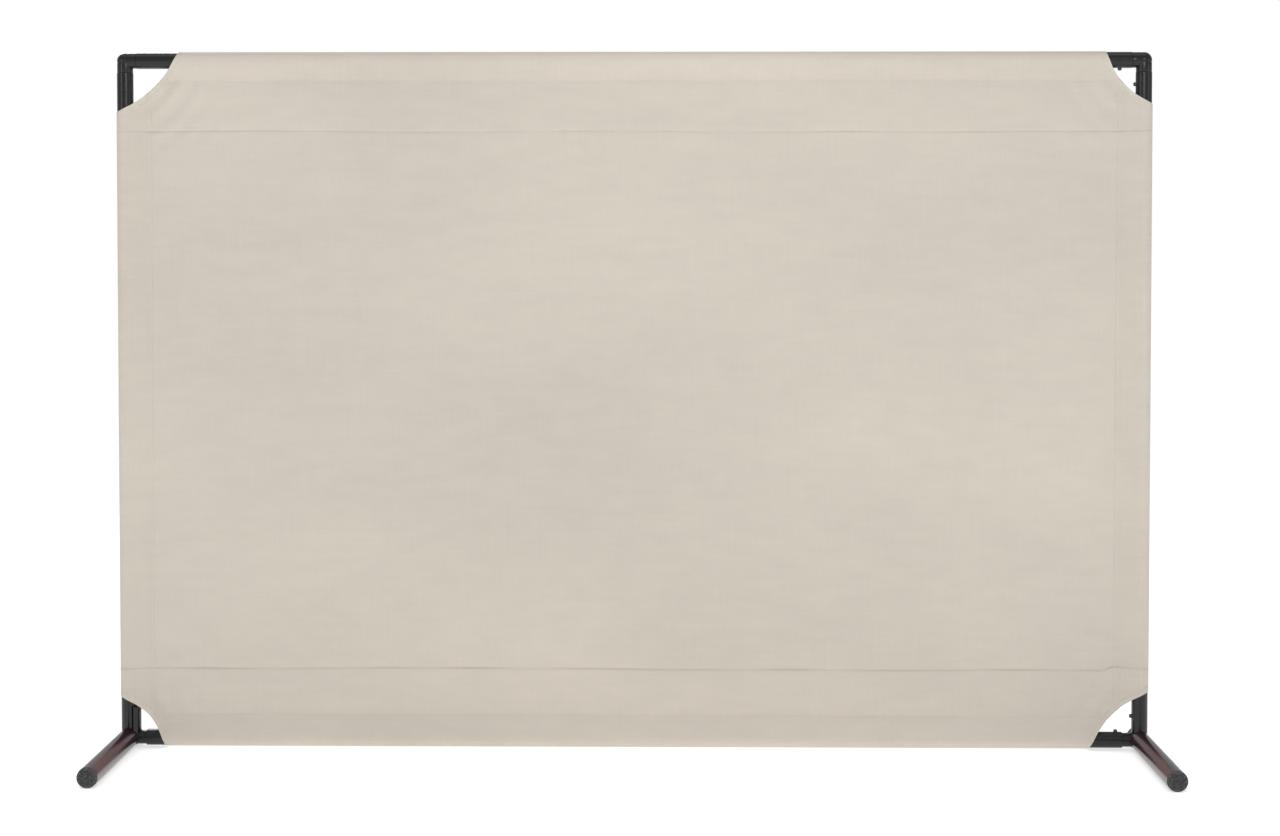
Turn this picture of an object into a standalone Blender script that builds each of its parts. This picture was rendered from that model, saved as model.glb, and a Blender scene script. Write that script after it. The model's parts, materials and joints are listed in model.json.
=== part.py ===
"""A free-standing welding curtain screen: a canvas cover on a knock-down frame of steel tube.

Four tubes plug onto the spigots of two elbows at the top and two feet at the bottom, and a snap
button locks each joint. The cover has a pocket along each side for its tube, and its corners are
cut away so that the buttons can be reached. Units are metres, +Z is up, +X is to the right seen
from the front, and the legs run towards -Y. The origin is on the floor, in the middle of the
ground that the screen covers.
"""

import math

import bmesh
import bpy
from mathutils import Matrix, Vector

# Frame
FRAME_WIDTH = 1.829  # over the two uprights
FRAME_HEIGHT = 1.234  # over the two rails
TUBE_OD = 0.0286
TUBE_WALL = 0.00165
TOP_TUBE_START = 0.036  # outer edge of the frame to the end of a tube at an elbow
BOTTOM_RAIL_START = 0.046  # outer edge of the frame to the end of the bottom rail

# Legs
LEG_OD = 0.0349
LEG_WALL = 0.0020
LEG_FRONT = 0.305  # plane of the frame to the face of the front cap
LEG_REAR = 0.030  # plane of the frame to the face of the rear cap
CAP_FLANGE = 0.0045
CAP_BARREL = 0.014
CAP_WALL = 0.0020
CAP_EDGE = 0.0016
CAP_INSET = 0.0002  # how far the flange stays inside the tube's outer face

# Elbows and foot spigots
SPIGOT_WALL = 0.0020
SPIGOT_TAIL = 0.036  # centre of the button to the end of the spigot
SPIGOT_CHAMFER = 0.0010
ARM_STEP = 0.0011  # how far an elbow's arm stands inside the tubes' outer faces
HUB_REACH = 0.0030  # corner axis to the step between the hub and the arm
HUB_SWELL = 0.0002  # how far the ball of the hub stands out from the tubes' outer faces
ELBOW_WEB = 0.0030  # metal between the corner's own bulk and a bore

# Snap buttons
BUTTON_FROM_EDGE = 0.057
BUTTON_OD = 0.0070
BUTTON_PROUD = 0.0045
BUTTON_DOME = 0.0020
BUTTON_HOLE = 0.0076
HEAD_OD = 0.0090
HEAD_THICK = 0.0010
LEAF_WIDTH = 0.0070
LEAF_THICK = 0.0007
LEAF_TAIL = 0.0070  # centre of the button to the free end of the leaf
LEAF_REACH = 0.0310  # centre of the button to the outside of the bend
LEAF_BEND = 0.0026

# Half-round saddle beside the foot of the left upright, measured from the frame's outer edge
SADDLE_OD = 0.0349
SADDLE_FACE = 0.0353
SADDLE_EDGE = 0.0245
SADDLE_BELOW_CLOTH = 0.0020

# Cover
CLOTH = 0.0012
POCKET_MEETS = {"top": 0.050, "bottom": 0.057, "left": 0.054, "right": 0.054}
HEM_DEPTH = {"top": 0.139, "bottom": 0.138, "left": 0.060, "right": 0.060}
CUT_ALONG_RAIL = {"top_left": 0.108, "top_right": 0.080, "bottom_left": 0.078, "bottom_right": 0.103}
CUT_ALONG_UPRIGHT = {"top_left": 0.103, "top_right": 0.089, "bottom_left": 0.087, "bottom_right": 0.100}
CUT_BULGE = 0.014  # depth of each corner's arc into the cloth

# Clearances
GAP = 0.0003  # between faces that touch
SLIP = 0.0003  # between a spigot and the tube on it, on the radius
POCKET_SLACK = 0.0004  # between a tube and the cloth round it

ROUND = 24  # sides of a turned piece
SMALL_ROUND = 16

TUBE_R = TUBE_OD / 2
LEG_R = LEG_OD / 2
SPIGOT_R = TUBE_R - TUBE_WALL - SLIP
BORE_R = SPIGOT_R - SPIGOT_WALL
ARM_R = TUBE_R - ARM_STEP
AXIS_X = FRAME_WIDTH / 2 - TUBE_R
AXIS_BOTTOM = LEG_R
AXIS_TOP = AXIS_BOTTOM + FRAME_HEIGHT - TUBE_OD
FRAME_Y = (LEG_FRONT - LEG_REAR) / 2
BUTTON_ALONG = BUTTON_FROM_EDGE - TUBE_R
SPIGOT_END = BUTTON_ALONG + SPIGOT_TAIL
HEAD_TOP = math.sqrt(BORE_R**2 - (HEAD_OD / 2) ** 2) - GAP

RIGHT, UP, BACK = Vector((1, 0, 0)), Vector((0, 0, 1)), Vector((0, 1, 0))
CORNERS = {
    "top_left": (-1, 1),
    "top_right": (1, 1),
    "bottom_left": (-1, -1),
    "bottom_right": (1, -1),
}


def clear_scene():
    for obj in list(bpy.data.objects):
        bpy.data.objects.remove(obj)


def collection(name, hidden=False):
    made = bpy.data.collections.new(name)
    bpy.context.scene.collection.children.link(made)
    made.hide_render = hidden
    return made


def material(name, colour, roughness, metallic=0.0):
    made = bpy.data.materials.new(name)
    made.use_nodes = True
    shader = made.node_tree.nodes["Principled BSDF"]
    shader.inputs["Base Color"].default_value = (*colour, 1.0)
    shader.inputs["Roughness"].default_value = roughness
    shader.inputs["Metallic"].default_value = metallic
    return made


def basis(origin, across, outward):
    """The matrix that puts local X along across and local Z along outward, at origin."""
    side = outward.cross(across)
    turn = Matrix((across, side, outward)).transposed().to_4x4()
    return Matrix.Translation(origin) @ turn


def along_y(x, z, y=0.0):
    """The matrix of a turned piece whose axis runs towards +Y, with a flat side down."""
    return basis(Vector((x, y, z)), RIGHT, BACK)


class Builder:
    """Adds the pieces and the cutters to their collections."""

    def __init__(self):
        self.parts = collection("welding_curtain_screen")
        self.cutters = collection("cutters", hidden=True)
        self.stand = bpy.data.objects.new("screen_origin", None)
        self.parts.objects.link(self.stand)

    def add(self, name, mesh, matrix, finish=None):
        """A mesh as a piece with a finish of its own, or as a cutter where it has none."""
        obj = bpy.data.objects.new(name, mesh)
        obj.matrix_world = matrix
        if finish is None:
            self.cutters.objects.link(obj)
            obj.hide_render = True
            obj.display_type = "WIRE"
            return obj
        self.parts.objects.link(obj)
        obj.parent = self.stand
        colour, roughness, metallic = finish
        mesh.materials.append(material(name, colour, roughness, metallic))
        return obj

    def turned(self, name, profile, matrix, finish=None, ring=False, steps=ROUND):
        """A profile of (radius, height) points, outer side first, turned about local Z.

        Its flat sides lie at the radius given, and one of them faces local -X and -Y.
        """
        to_corner = 1 / math.cos(math.pi / steps)
        start = Matrix.Rotation(math.pi / steps, 3, "Z")
        shape = bmesh.new()
        points = [shape.verts.new(start @ Vector((r * to_corner, 0, z))) for r, z in profile]
        for first, second in zip(points, points[1:]):
            shape.edges.new((first, second))
        if ring:
            shape.edges.new((points[-1], points[0]))
        mesh = bpy.data.meshes.new(name)
        shape.to_mesh(mesh)
        shape.free()
        obj = self.add(name, mesh, matrix, finish)
        screw = obj.modifiers.new("turn", "SCREW")
        screw.steps = screw.render_steps = steps
        screw.use_merge_vertices = True
        screw.merge_threshold = 1e-5
        screw.use_smooth_shade = True
        return obj

    def rod(self, name, radius, start, end, matrix, steps=ROUND):
        """A plain round cutter along local Z."""
        profile = [(0, end), (radius, end), (radius, start), (0, start)]
        return self.turned(name, profile, matrix, steps=steps)

    def prism(self, name, outlines, half_length, matrix, finish=None):
        """Closed outlines in local XY, drawn out along local Z. An inner outline is a hole."""
        flat = bpy.data.curves.new(name, "CURVE")
        flat.dimensions = "2D"
        flat.fill_mode = "BOTH"
        flat.extrude = half_length
        for outline in outlines:
            spline = flat.splines.new("POLY")
            spline.points.add(len(outline) - 1)
            for point, (across, up) in zip(spline.points, outline):
                point.co = (across, up, 0, 1)
            spline.use_cyclic_u = True
        guide = bpy.data.objects.new(name + "_outline", flat)
        self.cutters.objects.link(guide)
        graph = bpy.context.evaluated_depsgraph_get()
        mesh = bpy.data.meshes.new_from_object(guide.evaluated_get(graph))
        bpy.data.objects.remove(guide)
        shape = bmesh.new()
        shape.from_mesh(mesh)
        bmesh.ops.remove_doubles(shape, verts=shape.verts, dist=1e-6)
        bmesh.ops.recalc_face_normals(shape, faces=shape.faces)
        shape.to_mesh(mesh)
        shape.free()
        mesh.name = name
        mesh.materials.clear()
        return self.add(name, mesh, matrix, finish)


def combine(obj, operation, *others):
    for other in others:
        step = obj.modifiers.new(other.name, "BOOLEAN")
        step.operation = operation
        step.object = other


def corner_point(corner):
    side, level = CORNERS[corner]
    return Vector((side * AXIS_X, FRAME_Y, AXIS_TOP if level > 0 else AXIS_BOTTOM))


def directions(corner, tube):
    """Unit vectors at a corner: along the tube away from the corner, and out through its button.

    The right-hand buttons face into the frame, and the left-hand ones face the back.
    """
    side, level = CORNERS[corner]
    inboard, inward = RIGHT * -side, UP * -level
    along = inboard if tube == "rail" else inward
    facing = inward if tube == "rail" else inboard
    return along, facing if side > 0 else BACK


def joint_frame(corner, tube):
    """The matrix at a tube's button: local Z out through the button, local X along the tube."""
    along, out = directions(corner, tube)
    return basis(corner_point(corner) + along * BUTTON_ALONG, along, out)


def spigot_frame(corner, tube):
    """The matrix of a piece turned about a tube's axis, with local Z away from the corner."""
    along, out = directions(corner, tube)
    return basis(corner_point(corner), out, along)


def button_holes(build):
    """One cutter for each button: it makes the hole in the spigot and the one in the tube."""
    holes = {}
    for corner in CORNERS:
        for tube in ("rail", "upright"):
            holes[corner, tube] = build.rod(
                f"hole_{corner}_{tube}",
                BUTTON_HOLE / 2,
                BORE_R / 2,
                TUBE_R + BUTTON_PROUD,
                joint_frame(corner, tube),
                steps=SMALL_ROUND,
            )
    return holes


def make_tube(build, name, start, end, matrix, finish, cutters):
    """A frame tube along local Z, with its holes and any coped end."""
    bore = TUBE_R - TUBE_WALL
    profile = [(TUBE_R, end), (TUBE_R, start), (bore, start), (bore, end)]
    tube = build.turned(name, profile, matrix, finish, ring=True)
    combine(tube, "DIFFERENCE", *cutters)


def make_frame_tubes(build, holes, copes, finish):
    rail_end = FRAME_WIDTH / 2
    for level, height, start in (
        ("top", AXIS_TOP, TOP_TUBE_START),
        ("bottom", AXIS_BOTTOM, BOTTOM_RAIL_START),
    ):
        half = rail_end - start
        place = basis(Vector((0, FRAME_Y, height)), UP, RIGHT)
        cutters = [holes[f"{level}_left", "rail"], holes[f"{level}_right", "rail"]]
        make_tube(build, f"{level}_rail", -half, half, place, finish, cutters)
    for hand, side in (("left", -1), ("right", 1)):
        place = basis(Vector((side * AXIS_X, FRAME_Y, 0)), RIGHT, UP)
        top = AXIS_TOP + TUBE_R - TOP_TUBE_START
        cutters = [holes[f"{level}_{hand}", "upright"] for level in ("top", "bottom")]
        cutters.extend(copes[hand])
        make_tube(build, f"{hand}_upright", AXIS_BOTTOM, top, place, finish, cutters)


def make_elbow(build, corner, holes, finish):
    """A cast corner: a round hub, two arms and a hollow spigot on each."""
    shoulder = TOP_TUBE_START - TUBE_R - GAP
    profile = [
        (0, SPIGOT_END),
        (SPIGOT_R - SPIGOT_CHAMFER, SPIGOT_END),
        (SPIGOT_R, SPIGOT_END - SPIGOT_CHAMFER),
        (SPIGOT_R, shoulder),
        (ARM_R, shoulder),
        (ARM_R, HUB_REACH),
        (TUBE_R, HUB_REACH),
        (TUBE_R, 0),
        (0, 0),
    ]
    elbow = build.turned(f"{corner}_elbow", profile, spigot_frame(corner, "rail"), finish)
    # A quarter of a side's turn keeps the two arms' flat sides out of one plane.
    quarter_side = Matrix.Rotation(math.pi / ROUND / 2, 4, "Z")
    upright = spigot_frame(corner, "upright") @ quarter_side
    arm = build.turned(f"{corner}_arm", profile, upright)
    shape = bmesh.new()
    radius = TUBE_R + HUB_SWELL
    bmesh.ops.create_uvsphere(shape, u_segments=ROUND, v_segments=ROUND // 2, radius=radius)
    mesh = bpy.data.meshes.new(f"{corner}_hub")
    shape.to_mesh(mesh)
    shape.free()
    hub = build.add(mesh.name, mesh, Matrix.Translation(corner_point(corner)))
    combine(elbow, "UNION", arm, hub)
    bore_start = BORE_R + ELBOW_WEB
    for tube in ("rail", "upright"):
        place = spigot_frame(corner, tube)
        bore = build.rod(f"{corner}_{tube}_bore", BORE_R, bore_start, SPIGOT_END + GAP, place)
        combine(elbow, "DIFFERENCE", bore, holes[corner, tube])


def foot_copes(build):
    """For each foot, the round cuts that fit a piece over its leg tube and its rail spigot."""
    copes = {}
    for hand, side in (("left", -1), ("right", 1)):
        over_leg = along_y(side * AXIS_X, AXIS_BOTTOM, FRAME_Y)
        over_spigot = spigot_frame(f"bottom_{hand}", "rail")
        copes[hand] = (
            build.rod(f"{hand}_leg_cope", LEG_R + GAP, -LEG_OD, LEG_OD, over_leg),
            build.rod(f"{hand}_spigot_cope", SPIGOT_R + GAP, 0, SPIGOT_END + GAP, over_spigot),
        )
    return copes


def make_foot(build, hand, holes, copes, steel, plastic):
    """A leg tube with a spigot welded on for the rail and one for the upright, and two caps."""
    corner = f"bottom_{hand}"
    x = CORNERS[corner][0] * AXIS_X
    bore = LEG_R - LEG_WALL
    front = FRAME_Y - LEG_FRONT
    rear = FRAME_Y + LEG_REAR
    tube_front = front + CAP_FLANGE + GAP
    tube_rear = rear - CAP_FLANGE - GAP
    wall = [(LEG_R, tube_rear), (LEG_R, tube_front), (bore, tube_front), (bore, tube_rear)]
    build.turned(f"{hand}_leg_tube", wall, along_y(x, AXIS_BOTTOM), steel, ring=True)
    for tube in ("rail", "upright"):
        profile = [
            (SPIGOT_R - SPIGOT_CHAMFER, SPIGOT_END),
            (SPIGOT_R, SPIGOT_END - SPIGOT_CHAMFER),
            (SPIGOT_R, 0),
            (BORE_R, 0),
            (BORE_R, SPIGOT_END),
        ]
        place = spigot_frame(corner, tube)
        spigot = build.turned(f"{hand}_{tube}_spigot", profile, place, steel, ring=True)
        over = copes[hand][:1] if tube == "rail" else copes[hand]
        combine(spigot, "DIFFERENCE", *over, holes[corner, tube])
    flange = LEG_R - CAP_INSET
    barrel = bore - SLIP
    hollow = barrel - CAP_WALL
    end = -CAP_FLANGE - CAP_BARREL
    corners = [math.radians(90 - 22.5 * step) for step in range(5)]
    edge = [
        (flange - CAP_EDGE + CAP_EDGE * math.cos(turn), CAP_EDGE * (math.sin(turn) - 1))
        for turn in corners
    ]
    under = [(flange, -CAP_FLANGE), (barrel, -CAP_FLANGE), (barrel, end), (hollow, end)]
    profile = [(0, 0), *edge, *under, (hollow, -CAP_FLANGE), (0, -CAP_FLANGE)]
    for place_name, y, outward in (("front", front, -BACK), ("rear", rear, BACK)):
        matrix = basis(Vector((x, y, AXIS_BOTTOM)), RIGHT, outward)
        build.turned(f"{hand}_{place_name}_cap", profile, matrix, plastic)


def cut_circle(corner):
    """Centre, radius and end points of a corner's arc, as distances in from the frame's edges."""
    ends = Vector((CUT_ALONG_RAIL[corner], 0)), Vector((0, CUT_ALONG_UPRIGHT[corner]))
    chord = ends[0] - ends[1]
    inward = Vector((-chord.y, chord.x)).normalized()
    radius = chord.length**2 / (8 * CUT_BULGE) + CUT_BULGE / 2
    middle = (ends[0] + ends[1]) / 2
    return middle - inward * (radius - CUT_BULGE), radius, ends


def cloth_edge(corner, across):
    """How far from the rail's edge the cloth starts, at a distance in from the upright's edge."""
    centre, radius, _ = cut_circle(corner)
    return centre.y + math.sqrt(radius**2 - (across - centre.x) ** 2)


def make_saddle(build, copes, finish):
    """The half-round bar that stands on the left leg against the inboard side of the upright."""
    corner = "bottom_left"
    edge = -FRAME_WIDTH / 2
    bottom = AXIS_BOTTOM - TUBE_R
    low = bottom + cloth_edge(corner, SADDLE_FACE) - SADDLE_BELOW_CLOTH
    high = bottom + cloth_edge(corner, SADDLE_EDGE) - SADDLE_BELOW_CLOTH
    radius = SADDLE_OD / 2
    upright = basis(Vector((edge + SADDLE_FACE - radius, FRAME_Y, 0)), RIGHT, UP)
    profile = [(0, high), (radius, high), (radius, AXIS_BOTTOM), (0, AXIS_BOTTOM)]
    saddle = build.turned("left_upright_saddle", profile, upright, finish)
    tube = basis(Vector((-AXIS_X, FRAME_Y, 0)), RIGHT, UP)
    hollow = build.rod("saddle_hollow", TUBE_R + GAP, 0, high + GAP, tube)
    beyond = SADDLE_OD + SADDLE_FACE
    outline = [
        (edge - beyond, bottom - beyond),
        (edge + SADDLE_EDGE, bottom - beyond),
        (edge + SADDLE_EDGE, high),
        (edge + SADDLE_FACE + GAP, low),
        (edge + SADDLE_FACE + GAP, high + beyond),
        (edge - beyond, high + beyond),
    ]
    face_on = basis(Vector((0, FRAME_Y, 0)), RIGHT, -BACK)
    trim = build.prism("saddle_trim", [outline], SADDLE_OD, face_on)
    combine(saddle, "DIFFERENCE", hollow, trim, *copes["left"])


def make_button(build, corner, tube, finish):
    """The button, with the head that holds it inside the spigot. It slides along local Z."""
    radius = BUTTON_OD / 2
    tip = TUBE_R + BUTTON_PROUD
    turns = [math.radians(90 - 18 * step) for step in range(1, 6)]
    dome = [
        (radius * math.cos(turn), tip - BUTTON_DOME * (1 - math.sin(turn))) for turn in turns
    ]
    head = [(radius, HEAD_TOP), (HEAD_OD / 2, HEAD_TOP), (HEAD_OD / 2, HEAD_TOP - HEAD_THICK)]
    profile = [(0, tip), *dome, *head, (0, HEAD_TOP - HEAD_THICK)]
    name = f"{corner}_{tube}_button"
    build.turned(name, profile, joint_frame(corner, tube), finish, steps=SMALL_ROUND)


def make_leaf(build, corner, tube, finish):
    """The V-shaped leaf spring behind a button: one arm under its head, one on the far wall."""
    half = LEAF_THICK / 2
    upper = HEAD_TOP - HEAD_THICK - GAP - half
    lower = half + GAP - math.sqrt(BORE_R**2 - (LEAF_WIDTH / 2) ** 2)
    centre = LEAF_REACH - LEAF_BEND - half
    turns = [math.radians(75 - 15 * step) for step in range(11)]
    bend = [(centre + LEAF_BEND * math.cos(turn), LEAF_BEND * math.sin(turn)) for turn in turns]
    path = [(-LEAF_TAIL, upper), (LEAF_TAIL, upper), *bend, (-LEAF_TAIL, lower)]
    shape = bmesh.new()
    edges = [
        [shape.verts.new((along, side * LEAF_WIDTH / 2, out)) for along, out in path]
        for side in (-1, 1)
    ]
    for at in range(len(path) - 1):
        shape.faces.new((edges[0][at], edges[1][at], edges[1][at + 1], edges[0][at + 1]))
    name = f"{corner}_{tube}_spring"
    mesh = bpy.data.meshes.new(name)
    shape.to_mesh(mesh)
    shape.free()
    leaf = build.add(name, mesh, joint_frame(corner, tube), finish)
    thicken = leaf.modifiers.new("thickness", "SOLIDIFY")
    thicken.thickness = LEAF_THICK
    thicken.offset = 0
    thicken.use_even_offset = True


def corner_cut(build, corner):
    """The prism that takes a corner off the cover."""
    side, level = CORNERS[corner]
    centre, radius, ends = cut_circle(corner)
    margin = TUBE_OD
    first, last = (math.atan2(*(end - centre).yx) for end in ends)
    steps = 14
    turns = [first + (last - first) * step / steps for step in range(steps + 1)]
    arc = [centre + Vector((math.cos(turn), math.sin(turn))) * radius for turn in turns]
    beyond = [Vector((-margin, ends[1].y)), Vector((-margin, -margin)), Vector((ends[0].x, -margin))]
    edge_z = AXIS_TOP + TUBE_R if level > 0 else AXIS_BOTTOM - TUBE_R
    outline = [
        (side * (FRAME_WIDTH / 2 - point.x), edge_z - level * point.y) for point in arc + beyond
    ]
    face_on = basis(Vector((0, FRAME_Y, 0)), RIGHT, -BACK)
    return build.prism(f"cut_{corner}", [outline], LEG_OD, face_on)


def pocket_outlines(side):
    """The section of a pocket, as (across the cloth, towards the panel) from its tube's axis.

    The cloth goes round the tube and its two layers meet in a V, then lie together to the hem.
    """
    inner = TUBE_R + POCKET_SLACK
    outer = inner + CLOTH
    meets = POCKET_MEETS[side] - TUBE_R
    hem = HEM_DEPTH[side] - TUBE_R - GAP
    slope = math.asin(inner / meets)
    first = math.pi / 2 - slope
    steps = 24
    turns = [first + 2 * (math.pi - first) * step / steps for step in range(steps + 1)]
    together = meets + CLOTH * math.tan(slope / 2)
    outside = [(outer * math.sin(turn), outer * math.cos(turn)) for turn in turns]
    inside = [(inner * math.sin(turn), inner * math.cos(turn)) for turn in turns]
    outside += [(-CLOTH, together), (-CLOTH, hem), (CLOTH, hem), (CLOTH, together)]
    return outside, inside + [(0, meets)]


def make_cover(build, finish):
    """The panel and its four pockets, which share the cloth's seams."""
    cuts = {corner: corner_cut(build, corner) for corner in CORNERS}
    inner_x = {side: FRAME_WIDTH / 2 - HEM_DEPTH[side] for side in ("left", "right")}
    middle_x = (inner_x["right"] - inner_x["left"]) / 2
    half_x = (inner_x["right"] + inner_x["left"]) / 2
    for side, height, towards in (("top", AXIS_TOP, -1), ("bottom", AXIS_BOTTOM, 1)):
        place = Matrix.Translation((middle_x, FRAME_Y, height)) @ basis(Vector(), BACK, RIGHT)
        outlines = [
            [(across, towards * along) for across, along in outline]
            for outline in pocket_outlines(side)
        ]
        pocket = build.prism(f"{side}_pocket", outlines, half_x - GAP, place, finish)
        combine(pocket, "DIFFERENCE", cuts[f"{side}_left"], cuts[f"{side}_right"])
    middle_z = (AXIS_TOP + AXIS_BOTTOM) / 2
    for side, x, towards in (("left", -AXIS_X, 1), ("right", AXIS_X, -1)):
        outlines = [
            [(towards * along, across) for across, along in outline]
            for outline in pocket_outlines(side)
        ]
        place = Matrix.Translation((x, FRAME_Y, middle_z))
        pocket = build.prism(f"{side}_pocket", outlines, FRAME_HEIGHT / 2, place, finish)
        combine(pocket, "DIFFERENCE", cuts[f"top_{side}"], cuts[f"bottom_{side}"])
    top = AXIS_TOP + TUBE_R - HEM_DEPTH["top"] - GAP
    bottom = AXIS_BOTTOM - TUBE_R + HEM_DEPTH["bottom"] + GAP
    shape = bmesh.new()
    bmesh.ops.create_cube(shape, size=1)
    size = Vector((2 * (half_x - GAP), CLOTH, top - bottom))
    bmesh.ops.scale(shape, vec=size, verts=shape.verts)
    mesh = bpy.data.meshes.new("cover_panel")
    shape.to_mesh(mesh)
    shape.free()
    middle = Vector((middle_x, FRAME_Y, (top + bottom) / 2))
    build.add("cover_panel", mesh, Matrix.Translation(middle), finish)


def main():
    clear_scene()
    build = Builder()
    black_steel = (0.018, 0.018, 0.020), 0.28, 0.0
    dark_plastic = (0.045, 0.045, 0.047), 0.75, 0.0
    zinc = (0.11, 0.11, 0.115), 0.35, 1.0
    spring_steel = (0.32, 0.33, 0.35), 0.35, 1.0
    canvas = (0.62, 0.58, 0.50), 0.9, 0.0
    holes = button_holes(build)
    copes = foot_copes(build)
    make_frame_tubes(build, holes, copes, black_steel)
    for corner in ("top_left", "top_right"):
        make_elbow(build, corner, holes, black_steel)
    for hand in ("left", "right"):
        make_foot(build, hand, holes, copes, black_steel, dark_plastic)
    make_saddle(build, copes, black_steel)
    for corner in CORNERS:
        for tube in ("rail", "upright"):
            make_button(build, corner, tube, zinc)
            make_leaf(build, corner, tube, spring_steel)
    make_cover(build, canvas)
    bpy.context.view_layer.update()


main()
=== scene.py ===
"""Looks of the welding curtain screen: sewn canvas, coated tube, welds, caps and buttons."""

import json
import math

import bmesh
import bpy
from bpy.props import FloatProperty, FloatVectorProperty, IntProperty, PointerProperty
from mathutils import Matrix, Vector, noise


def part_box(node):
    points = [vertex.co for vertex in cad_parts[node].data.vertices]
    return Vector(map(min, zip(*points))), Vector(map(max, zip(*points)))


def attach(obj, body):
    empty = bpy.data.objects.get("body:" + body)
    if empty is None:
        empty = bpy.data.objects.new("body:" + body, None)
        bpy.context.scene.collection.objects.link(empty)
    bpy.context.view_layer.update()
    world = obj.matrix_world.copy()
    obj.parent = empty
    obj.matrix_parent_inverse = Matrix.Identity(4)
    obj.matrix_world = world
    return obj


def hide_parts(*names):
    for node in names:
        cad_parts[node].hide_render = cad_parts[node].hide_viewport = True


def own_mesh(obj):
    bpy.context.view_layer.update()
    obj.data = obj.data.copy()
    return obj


bl_info = {
    "name": "Welding curtain screen",
    "version": (1, 0, 0),
    "blender": (4, 5, 0),
    "location": "3D View > Sidebar > Curtain Screen",
    "description": "Builds the finished pieces of a free-standing welding screen on its frame",
    "category": "Object",
}

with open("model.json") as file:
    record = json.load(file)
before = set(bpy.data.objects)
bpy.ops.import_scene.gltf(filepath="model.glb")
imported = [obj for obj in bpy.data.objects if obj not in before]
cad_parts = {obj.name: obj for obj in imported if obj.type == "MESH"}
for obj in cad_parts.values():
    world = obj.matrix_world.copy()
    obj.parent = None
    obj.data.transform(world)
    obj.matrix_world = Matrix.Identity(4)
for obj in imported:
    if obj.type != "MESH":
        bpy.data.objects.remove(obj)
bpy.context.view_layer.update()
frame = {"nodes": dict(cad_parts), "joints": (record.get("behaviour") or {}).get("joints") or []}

SCREEN = "screen"  # the body that all but the snap buttons ride on
TAU = math.tau
RIGHT, UP, BACK = Vector((1, 0, 0)), Vector((0, 0, 1)), Vector((0, 1, 0))
HANDS = {"left": -1, "right": 1}
LEVELS = {"top": 1, "bottom": -1}
CORNERS = {
    f"{level}_{hand}": (side, rise)
    for level, rise in LEVELS.items()
    for hand, side in HANDS.items()
}
SIDES = (*HANDS, *LEVELS)
TUBES = ("rail", "upright")  # the two tubes that meet at a corner
FIT = 0.0003  # room between parts that fit over or into each other
HOLE_R = 0.0038  # radius of the holes that the buttons stand in


def middle(node):
    low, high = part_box(node)
    return (low + high) / 2


def half(node, axis):
    low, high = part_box(node)
    return (high - low)[axis] / 2


TUBE_R = half("top_rail", 2)
LEG_R = half("left_leg_tube", 0)
SPIGOT_R = half("left_rail_spigot", 2)
PLANE = middle("top_rail").y
AXIS_X = middle("right_upright").x
AXIS_TOP = middle("top_rail").z
AXIS_BOTTOM = middle("bottom_rail").z
EDGE_X = AXIS_X + TUBE_R
EDGE = {"top": AXIS_TOP + TUBE_R, "bottom": AXIS_BOTTOM - TUBE_R, "left": -EDGE_X, "right": EDGE_X}


# Settings ---------------------------------------------------------------------------------------


class ScreenSteel(bpy.types.PropertyGroup):
    """Sizes and colours of the tubes, fittings and buttons."""

    sides: IntProperty(
        name="Sides", description="Sides of a round piece", default=72, min=24
    )
    wall: FloatProperty(
        name="Tube wall", description="Wall of a frame tube", default=0.00165, unit="LENGTH"
    )
    leg_wall: FloatProperty(
        name="Leg wall", description="Wall of a leg tube", default=0.0020, unit="LENGTH"
    )
    edge: FloatProperty(
        name="Cut edge", description="Rounding of a sawn end", default=0.0004, unit="LENGTH"
    )
    bead: FloatProperty(
        name="Weld bead", description="Width of a weld bead", default=0.0042, unit="LENGTH"
    )
    coat: FloatVectorProperty(
        name="Powder coat", description="Colour of the coat", subtype="COLOR",
        default=(0.0075, 0.0078, 0.0085),
    )
    # Colour of a painted reflection: a dark red band painted along the legs' upper inboard sides.
    leg_sheen: FloatVectorProperty(
        name="Leg tint", description="Warm tint of the legs", subtype="COLOR",
        default=(0.062, 0.007, 0.019),
    )
    plastic: FloatVectorProperty(
        name="Cap plastic", description="Colour of the caps", subtype="COLOR",
        default=(0.050, 0.050, 0.052),
    )
    zinc: FloatVectorProperty(
        name="Button steel", description="Colour of the buttons", subtype="COLOR",
        default=(0.075, 0.075, 0.08),
    )


class ScreenCloth(bpy.types.PropertyGroup):
    """Sizes and colours of the canvas cover."""

    thick: FloatProperty(
        name="Cloth", description="Thickness of the canvas", default=0.0008, unit="LENGTH"
    )
    cell: FloatProperty(
        name="Cell", description="Mesh size of the panel", default=0.0098, unit="LENGTH"
    )
    slack: FloatProperty(
        name="Slack", description="Room between a tube and the cloth",
        default=0.0003, unit="LENGTH",
    )
    bulge: FloatProperty(
        name="Corner arc", description="Depth of a corner's arc", default=0.014, unit="LENGTH"
    )
    binding: FloatProperty(
        name="Binding", description="Width of the tape on a corner's edge",
        default=0.009, unit="LENGTH",
    )
    stitch: FloatProperty(
        name="Stitch", description="Distance between stitches", default=0.0042, unit="LENGTH"
    )
    thread: FloatProperty(
        name="Yarn", description="Distance between yarns of the weave",
        default=0.0011, unit="LENGTH",
    )
    colour: FloatVectorProperty(
        name="Canvas", description="Colour of the canvas", subtype="COLOR",
        default=(0.576, 0.524, 0.458),
    )
    seam_colour: FloatVectorProperty(
        name="Thread", description="Colour of the sewing thread", subtype="COLOR",
        default=(0.545, 0.493, 0.425),
    )


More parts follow.
